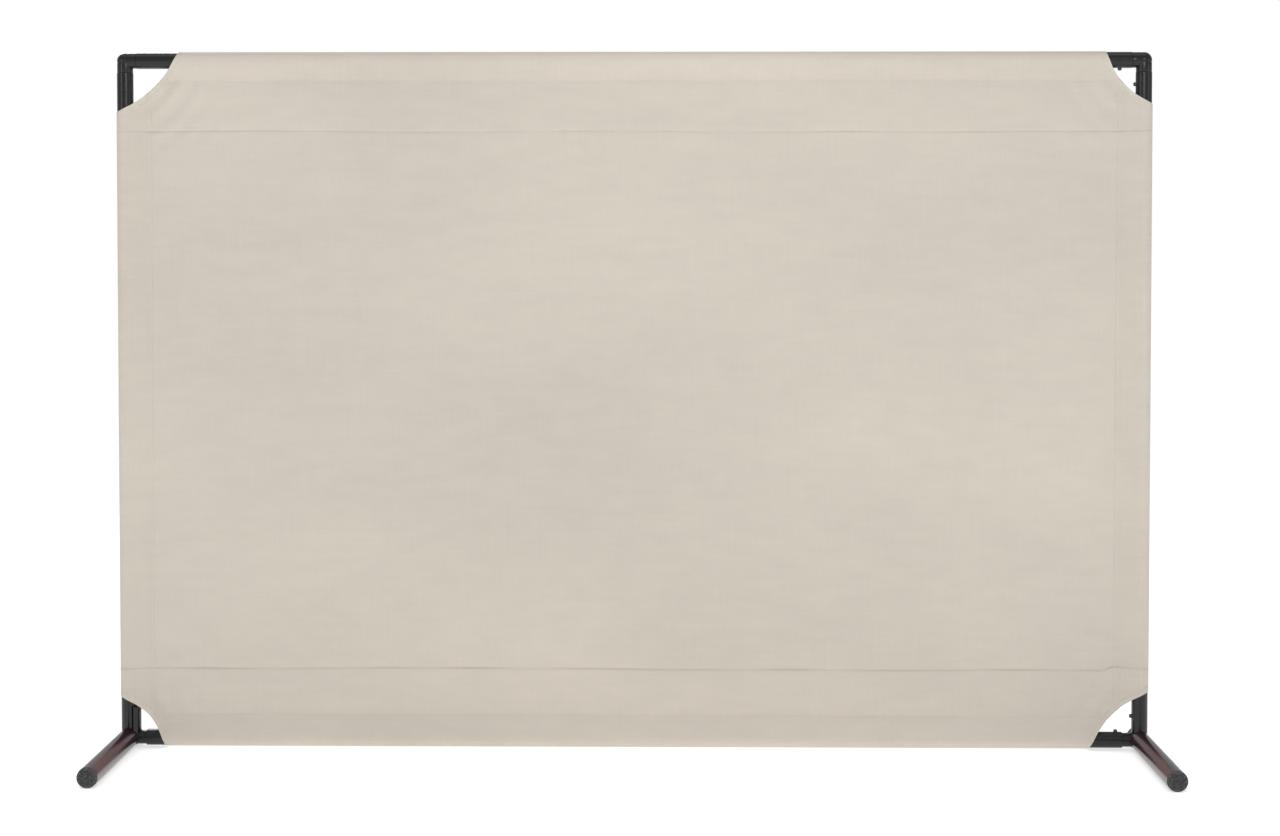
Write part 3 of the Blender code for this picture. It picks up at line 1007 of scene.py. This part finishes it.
def outline_ends(corner):
    """How far a corner's arc reaches along the rail and along the upright, from the edges."""
    side, level = CORNERS[corner]
    rows, hand = corner.split("_")
    rim, lap = 0.0005, 0.0025  # lap: the arc runs further on the tube than on the cloth round it

    def furthest(pocket, out, out_way, along, along_way):
        """Where the outer rim of a pocket ends along its tube."""
        spots = [vertex.co for vertex in frame["nodes"][f"{pocket}_pocket"].data.vertices]
        outermost = max(spot[out] * out_way for spot in spots)
        on_rim = [spot for spot in spots if spot[out] * out_way > outermost - rim]
        return max(spot[along] * along_way for spot in on_rim)

    along_rail = furthest(rows, 2, level, 0, side)
    along_upright = furthest(hand, 0, side, 2, level)
    return EDGE_X - along_rail + lap, EDGE[rows] * level - along_upright + lap


ENDS = {corner: outline_ends(corner) for corner in CORNERS}
PANEL_LOW, PANEL_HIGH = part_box("cover_panel")
HEM = {  # depth of each hem, from the edge of the frame to its seam
    "top": EDGE["top"] - PANEL_HIGH.z,
    "bottom": PANEL_LOW.z - EDGE["bottom"],
    "left": PANEL_LOW.x + EDGE_X,
    "right": EDGE_X - PANEL_HIGH.x,
}
# How far in from the edge of the frame the cloth round each tube comes together again.
MEETS = {"top": 0.050, "bottom": 0.057, "left": 0.054, "right": 0.054}


def arc_of(corner):
    """Centre, radius and angles of a corner's arc, in distances in from the frame's edges."""
    along_rail, along_upright = ENDS[corner]
    bulge = cloth().bulge
    chord = math.hypot(along_rail, along_upright)
    radius = chord**2 / (8 * bulge) + bulge / 2
    inward = Vector((along_upright, along_rail)) / chord
    centre = Vector((along_rail, along_upright)) / 2 - inward * (radius - bulge)
    first = math.atan2(-centre.y, along_rail - centre.x)
    last = math.atan2(along_upright - centre.y, -centre.x)
    return centre, radius, first, last


def cloth_start(corner, x):
    """Height of the cloth's edge above the bottom edge of the frame, at a place in x."""
    centre, radius, _, _ = arc_of(corner)
    inset = EDGE_X - abs(x)
    return centre.y + math.sqrt(max(radius**2 - (inset - centre.x) ** 2, 0))


def from_edges(corner, x, z):
    """A place on the cover as distances in from a corner's two edges."""
    side, level = CORNERS[corner]
    return EDGE_X - side * x, level * (EDGE[corner.split("_")[0]] - z)


def at_edges(corner, across, up):
    """The opposite of from_edges."""
    side, level = CORNERS[corner]
    return side * (EDGE_X - across), EDGE[corner.split("_")[0]] - level * up


def insets(x, z):
    """The distances in from the frame's four edges."""
    return {
        "left": x + EDGE_X,
        "right": EDGE_X - x,
        "top": EDGE["top"] - z,
        "bottom": z - EDGE["bottom"],
    }


def ease(value, low, high):
    """0 below low and 1 above high, with a smooth rise between them."""
    share = min(max((value - low) / (high - low), 0), 1)
    return share * share * (3 - 2 * share)


def wrap_radius():
    """Radius of the middle of the cloth where it goes round a tube."""
    return TUBE_R + cloth().slack + cloth().thick / 2


def drift(side, along):
    """How far a seam wanders from its straight line, and the step where the foot's seam ends."""
    wander = noise.noise(Vector((along * 4.0, len(side), 0.5))) * 0.0022
    if side == "bottom":
        wander += 0.0065 * ease(along, EDGE_X - 0.080, EDGE_X - 0.066)
    return wander


def wandered(x, z):
    """A place on the cover, moved with the seams near it."""
    for side, way in (("top", -1), ("bottom", 1)):
        off = abs(z - EDGE[side]) - HEM[side]
        z += way * drift(side, x) * (1 - ease(abs(off), 0.008, 0.045))
    return x, z


def swell(side, inset):
    """How far the cloth stands from the cover's middle plane, at a distance in from one edge."""
    radius, flat = wrap_radius(), cloth().thick * 0.62
    meets = MEETS[side] - TUBE_R
    slope = math.asin(radius / meets)
    along = inset - TUBE_R
    if along < radius * math.sin(slope):
        return math.sqrt(max(radius**2 - along**2, 0))
    straight = (meets - along) * math.tan(slope)
    soft = 0.0012
    return flat + (straight + math.sqrt(straight**2 + soft**2)) / 2 - soft / 4


WAVES = (  # waves along x and along z in a metre, a seed, and a height
    (2.3, 3.4, 1.7, 0.0040),
    (5.5, 9.0, 5.2, 0.0022),
    (2.6, 24.0, 9.1, 0.00080),
    (11.0, 13.0, 6.3, 0.00070),
)
FOLD_SHARES = {"top_left": 1.0, "top_right": 0.55, "bottom_left": 0.7, "bottom_right": 0.7}
FOLD_HEIGHT, FOLD_LENGTH, FOLD_FADE, FOLD_REACH = 0.0034, 0.034, 0.07, 0.40
PUCKER_HEIGHT, PUCKER_LENGTH, PUCKER_WIDTH = 0.00050, 0.041, 0.013
SEAM_DIP = {"left": 0.00012, "right": 0.00012, "top": 0.0009, "bottom": 0.0009}
HEM_RISE, MEET_DIP = 0.00045, 0.0006
# Painted shade: how much darker the cloth is painted at each side's seam, and in the crease beside
# its tube.
PAINTED_SHADE = {"top": (0.25, 0.05), "bottom": (0.38, 0.03), "left": (0.03, 0.04), "right": (0.03, 0.04)}


def ridge(off, width):
    """1 on a line, falling off to each side of it."""
    return math.exp(-((off / width) ** 2))


def folds(x, z):
    """The cloth's own unevenness: broad waves, tension folds at the corners and seam puckers."""
    found = insets(x, z)
    still = min(ease(found[side], 0.016, 0.052) for side in SIDES)
    rise = 0.0
    for across, up, seed, height in WAVES:
        rise += noise.noise(Vector((x * across, z * up, seed))) * height
    upright = noise.noise(Vector((x * 30.0, z * 1.6, 3.3))) * 0.00060
    rise += upright * (0.4 + 1.4 * (1 - ease(min(found["left"], found["right"]), 0.05, 0.20)))
    for corner, share in FOLD_SHARES.items():
        across, up = from_edges(corner, x, z)
        if across > FOLD_REACH or up > FOLD_REACH:
            continue
        centre, radius, first, last = arc_of(corner)
        beyond = math.hypot(across - centre.x, up - centre.y) - radius
        turn = math.atan2(up - centre.y, across - centre.x)
        window = math.sin(math.pi * min(max((turn - first) / (last - first), 0), 1))
        wobble = noise.noise(Vector((across * 12, up * 12, 2.0))) * 0.006
        wave = math.cos(TAU * (beyond + wobble) / FOLD_LENGTH)
        rise += share * FOLD_HEIGHT * wave * window * math.exp(-max(beyond, 0) / FOLD_FADE)
    for side in SIDES:
        off = found[side] - HEM[side]
        along = x if side in LEVELS else z
        sway = noise.noise(Vector((along * 7, off * 3, 4.0)))
        pucker = math.sin(TAU * along / PUCKER_LENGTH + 5 * sway) * (0.6 + sway)
        rise += PUCKER_HEIGHT * pucker * ridge(off, PUCKER_WIDTH)
    return rise * still


def hem_step(found):
    """The double cloth of a hem stands a little proud of the panel, and the seam pulls it in."""
    rise = 0.0
    for side in SIDES:
        off = found[side] - HEM[side]
        rise += HEM_RISE * (1 - ease(off, -0.0035, 0.0015))
        rise -= SEAM_DIP[side] * ridge(off, 0.0018)
        rise -= MEET_DIP * ridge(found[side] - MEETS[side], 0.0022)
    return rise


def painted_seam_shade(x, z):
    """Painted shade: how much darker the cloth is painted at its sewn lines and in the crease
    beside a tube.
    """
    found = insets(x, z)
    share = 0.0
    for side, (seam, crease) in PAINTED_SHADE.items():
        broken = 0.75 + noise.noise(Vector((x * 9, z * 9, len(side)))) * 1.1
        share += seam * broken * ridge(found[side] - HEM[side], 0.0014)
        share += crease * broken * ridge(found[side] - MEETS[side], 0.004)
    return min(max(share, 0), 1)


def cover_depth(x, z, front=True):
    """Where the middle of the cloth is at (x, z), as y in the frame."""
    found = insets(x, z)
    nearest = min(SIDES, key=lambda side: found[side])
    if found[nearest] < TUBE_R:
        out = swell(nearest, found[nearest])
    else:
        out = max(swell(side, found[side]) for side in SIDES)
    away = min(ease(found[side], 0.030, 0.060) for side in SIDES)
    if front:
        return PLANE - out - hem_step(found) * away - folds(x, z)
    return PLANE + out - folds(x, z)


TURNED = 0.0046  # how far a hem runs past its seam


def pocket_insets(side, turns=8, flights=3):
    """Distances in from one edge across its pocket, closest together round the tube."""
    radius, meets = wrap_radius(), MEETS[side]
    first = math.acos(radius / (meets - TUBE_R))
    angles = [math.pi - (math.pi - first) * step / turns for step in range(turns + 1)]
    round_tube = [TUBE_R + radius * math.cos(angle) for angle in angles]
    start, end = round_tube[-1], meets - 0.0045
    flight = [start + (end - start) * step / flights for step in range(1, flights + 1)]
    return round_tube + flight + [meets + off for off in (-0.0022, 0, 0.0026)]


def across_hem(side, start, cell):
    """Distances in from one edge from the pocket to just past the seam, closer at the seam."""
    close = [HEM[side] + off for off in (-0.0045, -0.0025, -0.0012, 0, 0.0012, 0.0025, 0.0045)]
    gap = close[0] - start
    count = max(int(gap / cell), 1)
    even = [start + gap * step / count for step in range(1, count)]
    return even + [at for at in close if at > start]


def lines(low_side, high_side):
    """Places of the cover's grid lines between two opposite edges, with how far along the flat
    cloth each lies, from one hem's free edge round both tubes to the other hem's free edge.

    Each line is (place, flat distance, layer): layer is -1 or 1 behind a tube and 0 in front.
    """
    cell = cloth().cell
    low, high = EDGE[low_side], EDGE[high_side]
    fronts, backs = [], []
    for side in (low_side, high_side):
        pocket = pocket_insets(side)
        inset = pocket + across_hem(side, pocket[-1], cell)
        fronts.append(inset)
        backs.append([at for at in inset[1:] if at <= HEM[side] + TURNED])
    start, end = low + fronts[0][-1], high - fronts[1][-1]
    count = round((end - start) / cell)
    placed = [(low + at, -1) for at in reversed(backs[0])] + [(low + at, 0) for at in fronts[0]]
    placed += [(start + (end - start) * step / count, 0) for step in range(1, count)]
    placed += [(high - at, 0) for at in reversed(fronts[1])] + [(high - at, 1) for at in backs[1]]

    def depth(at, layer):
        nearer_low = at < (low + high) / 2
        side, inset = (low_side, at - low) if nearer_low else (high_side, high - at)
        return swell(side, inset) * (1 if layer == 0 else -1)

    found, flat, before = [], 0.0, None
    for at, layer in placed:
        here = Vector((at, depth(at, layer)))
        flat += 0 if before is None else (here - before).length
        found.append((at, flat, layer))
        before = here
    return found


def corner_outline(corner, chords, out=0.0):
    """The arc of a corner in the plane of the cover, from the rail to the upright."""
    centre, radius, first, last = arc_of(corner)
    turns = [first + (last - first) * step / chords for step in range(chords + 1)]
    return [centre + Vector((math.cos(turn), math.sin(turn))) * (radius + out) for turn in turns]


def cut_corner(shape, corner, chords=26, margin=0.006):
    """Splits the cloth along a corner's arc and takes the corner away."""
    arc = corner_outline(corner, chords)
    line = [Vector((arc[0].x, -margin)), *arc, Vector((-margin, arc[-1].y))]
    reach = max(*ENDS[corner]) + 0.03

    def place(vertex):
        return Vector(from_edges(corner, vertex.co.x, vertex.co.z))

    def close_faces():
        spots = ((face, place(face.verts[0])) for face in shape.faces)
        return [face for face, at in spots if at.x < reach and at.y < reach]

    def meets(face, start, end):
        """Whether a face's box meets the box of a chord."""
        spots = [place(vertex) for vertex in face.verts]
        return all(
            min(spot[k] for spot in spots) - 1e-4 <= max(start[k], end[k])
            and max(spot[k] for spot in spots) + 1e-4 >= min(start[k], end[k])
            for k in (0, 1)
        )

    for start, end in zip(line, line[1:]):
        near = [face for face in close_faces() if meets(face, start, end)]
        edges = {edge for face in near for edge in face.edges}
        verts = {vertex for face in near for vertex in face.verts}
        (a_x, a_z), (b_x, b_z) = (at_edges(corner, *point) for point in (start, end))
        bmesh.ops.bisect_plane(
            shape,
            geom=near + list(edges) + list(verts),
            dist=1e-7,
            plane_co=(a_x, 0, a_z),
            plane_no=Vector((b_x - a_x, 0, b_z - a_z)).cross(BACK),
        )
    gone = []
    for face in close_faces():
        at = Vector(from_edges(corner, *face.calc_center_median().xz))
        if at.x < arc[0].x and at.y < arc[-1].y and inside(at, line):
            gone.append(face)
    bmesh.ops.delete(shape, geom=gone, context="FACES")


def inside(point, line):
    """Whether a point is on the corner's side of every chord."""
    return all((b - a).cross(point - a) > 0 for a, b in zip(line, line[1:]))


def split_quads(shape):
    """Splits each quad along the folds of the corner near it, so that both layers bend alike."""
    centre = (EDGE["top"] + EDGE["bottom"]) / 2
    for face in list(shape.faces):
        if len(face.verts) != 4:
            continue
        at = face.calc_center_median()
        a, b, c, d = face.verts
        rising = (c.co.x - a.co.x) * (c.co.z - a.co.z) > 0
        ends = (a, c) if rising == (at.x * (at.z - centre) < 0) else (b, d)
        bmesh.utils.face_split(face, *ends)


def sheet_mesh():
    """The cover as one sheet: its front, round the four tubes, and its hems behind."""
    columns, rows = lines("left", "right"), lines("bottom", "top")
    shape = bmesh.new()
    flat_map = shape.loops.layers.uv.new("flat")
    # Painted shade along the seams and in the creases beside the tubes, one value per vertex.
    painted_shade_layer = shape.verts.layers.float.new("sewn")
    placed, flat_at = {}, {}
    inner_left, inner_right = EDGE["left"] + HEM["left"], EDGE["right"] - HEM["right"]
    clear = 0.0040  # the level hems end this far from the upright ones behind
    for i, (x, u, side_layer) in enumerate(columns):
        for j, (z, v, level_layer) in enumerate(rows):
            if level_layer and (side_layer or not inner_left + clear <= x <= inner_right - clear):
                continue
            front = not side_layer and not level_layer
            moved_x, moved_z = wandered(x, z)
            vertex = shape.verts.new((moved_x, cover_depth(x, z, front), moved_z))
            vertex[painted_shade_layer] = painted_seam_shade(x, z)
            placed[i, j] = vertex
            flat_at[vertex] = (u, v)
    for i in range(len(columns) - 1):
        for j in range(len(rows) - 1):
            keys = ((i, j), (i + 1, j), (i + 1, j + 1), (i, j + 1))
            if all(key in placed for key in keys):
                face = shape.faces.new([placed[key] for key in keys])
                for loop in face.loops:
                    loop[flat_map].uv = flat_at[loop.vert]
    for corner in CORNERS:
        cut_corner(shape, corner)
    loose = [vertex for vertex in shape.verts if not vertex.link_faces]
    bmesh.ops.delete(shape, geom=loose, context="VERTS")
    split_quads(shape)
    bmesh.ops.recalc_face_normals(shape, faces=shape.faces)
    area = sum(face.calc_area() for face in shape.faces)
    return shape, (columns[-1][1], rows[-1][1]), area


class SCREEN_OT_cover(bpy.types.Operator):
    """Make the canvas cover, with its pockets, hems and corner cut-outs"""

    bl_idname = "screen.cover"
    bl_label = "Canvas cover"

    def execute(self, context):
        settings = cloth()
        material = finish_named("woven_canvas", canvas, settings, settings.colour)
        shape, flat, area = sheet_mesh()
        mesh = thickened("cover_sheet", shape, settings.thick)
        pockets = ["cover_panel"] + [f"{side}_pocket" for side in SIDES]
        cover = finished("canvas_cover", mesh, material, pockets)
        return {"FINISHED"}


def on_cover(x, z, front, lift):
    """A point just off the cover, on one of its faces."""
    y = cover_depth(x, z, front)
    x, z = wandered(x, z)
    return Vector((x, y - lift if front else y + lift, z))


class SCREEN_OT_bindings(bpy.types.Operator):
    """Fold a narrow tape of canvas over the edge of each corner cut-out"""

    bl_idname = "screen.bindings"
    bl_label = "Corner bindings"

    def execute(self, context):
        settings = cloth()
        material = finish_named("woven_canvas", canvas, settings, settings.colour)
        lift, hem_lift = settings.thick * 0.72, settings.thick * 0.30
        steps, shares = 40, (1.0, 0.97, 0.66, 0.33, 0.06)
        section = [(settings.binding * share, True) for share in shares]
        section += [(-0.0006, None)]  # the fold, round the cloth's own edge
        section += [(settings.binding * share, False) for share in reversed(shares)]
        for corner in CORNERS:
            shape = bmesh.new()
            flat_map = shape.loops.layers.uv.new("flat")
            arcs = [corner_outline(corner, steps, out) for out, _ in section]
            rings = []
            for step in range(steps + 1):
                ring = []
                for at, (_, front) in enumerate(section):
                    here = arcs[at][step]
                    x, z = at_edges(corner, max(here.x, 0.0), max(here.y, 0.0))
                    if front is None:
                        point = (on_cover(x, z, True, 0) + on_cover(x, z, False, 0)) / 2
                    else:
                        raised = lift if 0 < at < len(section) - 1 else hem_lift
                        point = on_cover(x, z, front, raised)
                    ring.append((shape.verts.new(point), (x, z)))
                rings.append(ring)
            for before, after in zip(rings, rings[1:]):
                for at in range(len(section) - 1):
                    corners = [before[at], after[at], after[at + 1], before[at + 1]]
                    face = shape.faces.new([vertex for vertex, _ in corners])
                    for loop, (_, place) in zip(face.loops, corners):
                        loop[flat_map].uv = place
            bmesh.ops.recalc_face_normals(shape, faces=shape.faces)
            tape = thickened("tape", shape, settings.thick * 0.5)
            finished(f"{corner}_binding", tape, material)
        return {"FINISHED"}


class SCREEN_OT_stitches(bpy.types.Operator):
    """Sew the seams of the hems and the bindings"""

    bl_idname = "screen.stitches"
    bl_label = "Stitches"

    def execute(self, context):
        settings = cloth()
        material = finish_named("sewing_thread", thread, settings.seam_colour)
        pitch, size = settings.stitch, (settings.stitch * 0.78, 0.0008, 0.0006)
        for side in SIDES:
            paths = self.seam(side, settings.thick / 2)
            mesh = set_along(f"{side}_stitches", paths, material, pitch, size)
            finished(f"{side}_hem_stitches", mesh, material)
        paths, tube_edge = [], 0.002
        for corner in CORNERS:
            arc = corner_outline(corner, 48, settings.binding * 0.72)
            arc = [point for point in arc if point.x > tube_edge and point.y > tube_edge]
            spots = [at_edges(corner, *point) for point in arc]
            for front in (True, False):
                paths.append([on_cover(x, z, front, settings.thick) for x, z in spots])
        mesh = set_along("binding_stitches", paths, material, pitch, size)
        finished("corner_stitches", mesh, material)
        return {"FINISHED"}

    def seam(self, side, lift, pitch=0.006):
        """The seam's two rows of thread, in front and behind, between the cut-outs."""
        level = side in LEVELS
        start, end = ("left", "right") if level else ("bottom", "top")
        inset = 0.004 if level else 0.0
        low, high = EDGE[start] + inset, EDGE[end] - inset
        fixed = EDGE[side] + HEM[side] * (1 if side in ("left", "bottom") else -1)
        count = int((high - low) / pitch)
        places = [low + (high - low) * step / count for step in range(count + 1)]
        spots = [(at, fixed) if level else (fixed, at) for at in places]
        spots = [spot for spot in spots if self.on_cloth(*spot)]
        front = [on_cover(x, z, True, lift) for x, z in spots]
        if level:  # behind, a level seam ends at the upright hems
            inner_left, inner_right = EDGE["left"] + HEM["left"], EDGE["right"] - HEM["right"]
            spots = [(x, z) for x, z in spots if inner_left < x < inner_right]
        return [front, [on_cover(x, z, False, lift * 0.9) for x, z in spots]]

    def on_cloth(self, x, z):
        """Whether a place is clear of all four cut-outs."""
        for corner, ends in ENDS.items():
            centre, radius, _, _ = arc_of(corner)
            across, up = from_edges(corner, x, z)
            near = across < ends[0] and up < ends[1]
            if near and math.hypot(across - centre.x, up - centre.y) < radius + 0.002:
                return False
        return True


# Stage ------------------------------------------------------------------------------------------


FLOOR_DROP = 0.0004  # the floor lies this far under the feet
MIDDLE = (0, PLANE, 0.65)
SOFT_BOXES = {  # place, what it points at, width and height, and power in watts
    "key": ((0.5, -2.6, 1.9), MIDDLE, (1.2, 1.2), 21),
    "fill": ((-3.2, -2.4, 1.5), MIDDLE, (0.8, 1.8), 11),
    "overhead": ((0, PLANE - 0.3, 3.2), MIDDLE, (3.0, 1.2), 9),
    "side": ((2.9, -1.1, 0.7), (0.9, PLANE, 0.3), (0.5, 1.6), 4),
    "rear": ((-1.8, 2.6, 2.8), MIDDLE, (1.4, 1.4), 40),
}


class SCREEN_OT_stage(bpy.types.Operator):
    """Set up the pale floor, the soft light and the camera"""

    bl_idname = "screen.stage"
    bl_label = "Stage"

    def execute(self, context):
        settings = context.scene.screen_stage
        shape = bmesh.new()
        bmesh.ops.create_grid(shape, x_segments=1, y_segments=1, size=30)
        shape.transform(Matrix.Translation((0, 0, -FLOOR_DROP)))
        floor = link("floor", crisp(mesh_from("floor", shape)))
        pale = Finish("floor").done(
            Base_Color=(*settings.floor, 1.0),
            Roughness=0.9,
            Specular_IOR_Level=0.0,
            Emission_Color=(1, 1, 1, 1),
            Emission_Strength=settings.glow,
        )
        floor.data.materials.append(pale)
        self.studio(context, settings)
        for name, values in SOFT_BOXES.items():
            self.soft_box(name, *values)
        context.scene.view_settings.view_transform = "Standard"
        self.camera(context, settings)
        return {"FINISHED"}

    def studio(self, context, settings):
        """White all round as seen directly, and dimmer as a source of light."""
        world = bpy.data.worlds.new("studio")
        context.scene.world = world
        world.use_nodes = True
        tree = world.node_tree
        seen, sky = tree.nodes["Background"], tree.nodes.new("ShaderNodeBackground")
        seen.inputs["Color"].default_value = sky.inputs["Color"].default_value = (1, 1, 1, 1)
        sky.inputs["Strength"].default_value = settings.sky
        ray, either = tree.nodes.new("ShaderNodeLightPath"), tree.nodes.new("ShaderNodeMixShader")
        tree.links.new(ray.outputs["Is Camera Ray"], either.inputs[0])
        tree.links.new(sky.outputs[0], either.inputs[1])
        tree.links.new(seen.outputs[0], either.inputs[2])
        tree.links.new(either.outputs[0], tree.nodes["World Output"].inputs[0])

    def soft_box(self, name, place, target, size, power):
        light = bpy.data.lights.new(name, "AREA")
        light.energy = power
        light.shape = "RECTANGLE"
        light.size, light.size_y = size
        obj = link(name, light)
        obj.location = place
        way = Vector(target) - Vector(place)
        obj.rotation_euler = way.to_track_quat("-Z", "Y").to_euler()

    def camera(self, context, settings):
        """Straight at the cover from above its middle, moved down with a small lens shift."""
        data = bpy.data.cameras.new("camera")
        data.lens = settings.lens
        data.sensor_width = 36
        data.clip_end = 60
        data.shift_y = -settings.drop
        data.shift_x = 0.0055
        obj = link("camera", data)
        turn = settings.turn
        back = Vector((math.sin(turn), -math.cos(turn), 0)) * settings.distance
        obj.location = Vector((0, PLANE, AXIS_BOTTOM + settings.height)) + back
        obj.rotation_euler = (math.pi / 2 - settings.tilt, 0, turn)
        context.scene.camera = obj


class SCREEN_PT_panel(bpy.types.Panel):
    """The screen's pieces and settings"""

    bl_idname = "SCREEN_PT_panel"
    bl_label = "Welding curtain screen"
    bl_space_type = "VIEW_3D"
    bl_region_type = "UI"
    bl_category = "Curtain Screen"

    def draw(self, context):
        for operator in OPERATORS:
            self.layout.operator(operator.bl_idname)
        for group in GROUPS:
            settings = getattr(context.scene, GROUPS[group])
            box = self.layout.box()
            for name in group.__annotations__:
                box.prop(settings, name)


GROUPS = {ScreenSteel: "screen_steel", ScreenCloth: "screen_cloth", ScreenStage: "screen_stage"}
OPERATORS = (
    SCREEN_OT_tubes,
    SCREEN_OT_elbows,
    SCREEN_OT_feet,
    SCREEN_OT_welds,
    SCREEN_OT_caps,
    SCREEN_OT_buttons,
    SCREEN_OT_cover,
    SCREEN_OT_bindings,
    SCREEN_OT_stitches,
    SCREEN_OT_stage,
)


def register():
    for made in (*GROUPS, *OPERATORS, SCREEN_PT_panel):
        bpy.utils.register_class(made)
    for group, name in GROUPS.items():
        setattr(bpy.types.Scene, name, PointerProperty(type=group))


def unregister():
    for name in GROUPS.values():
        delattr(bpy.types.Scene, name)
    for made in (SCREEN_PT_panel, *reversed(OPERATORS), *reversed(GROUPS)):
        bpy.utils.unregister_class(made)


def main():
    for name in ("Cube", "Light", "Camera"):
        if name in bpy.data.objects:
            bpy.data.objects.remove(bpy.data.objects[name])
    register()
    for operator in OPERATORS:
        getattr(bpy.ops.screen, operator.bl_idname.split(".")[1])()


if __name__ == "__main__":
    main()
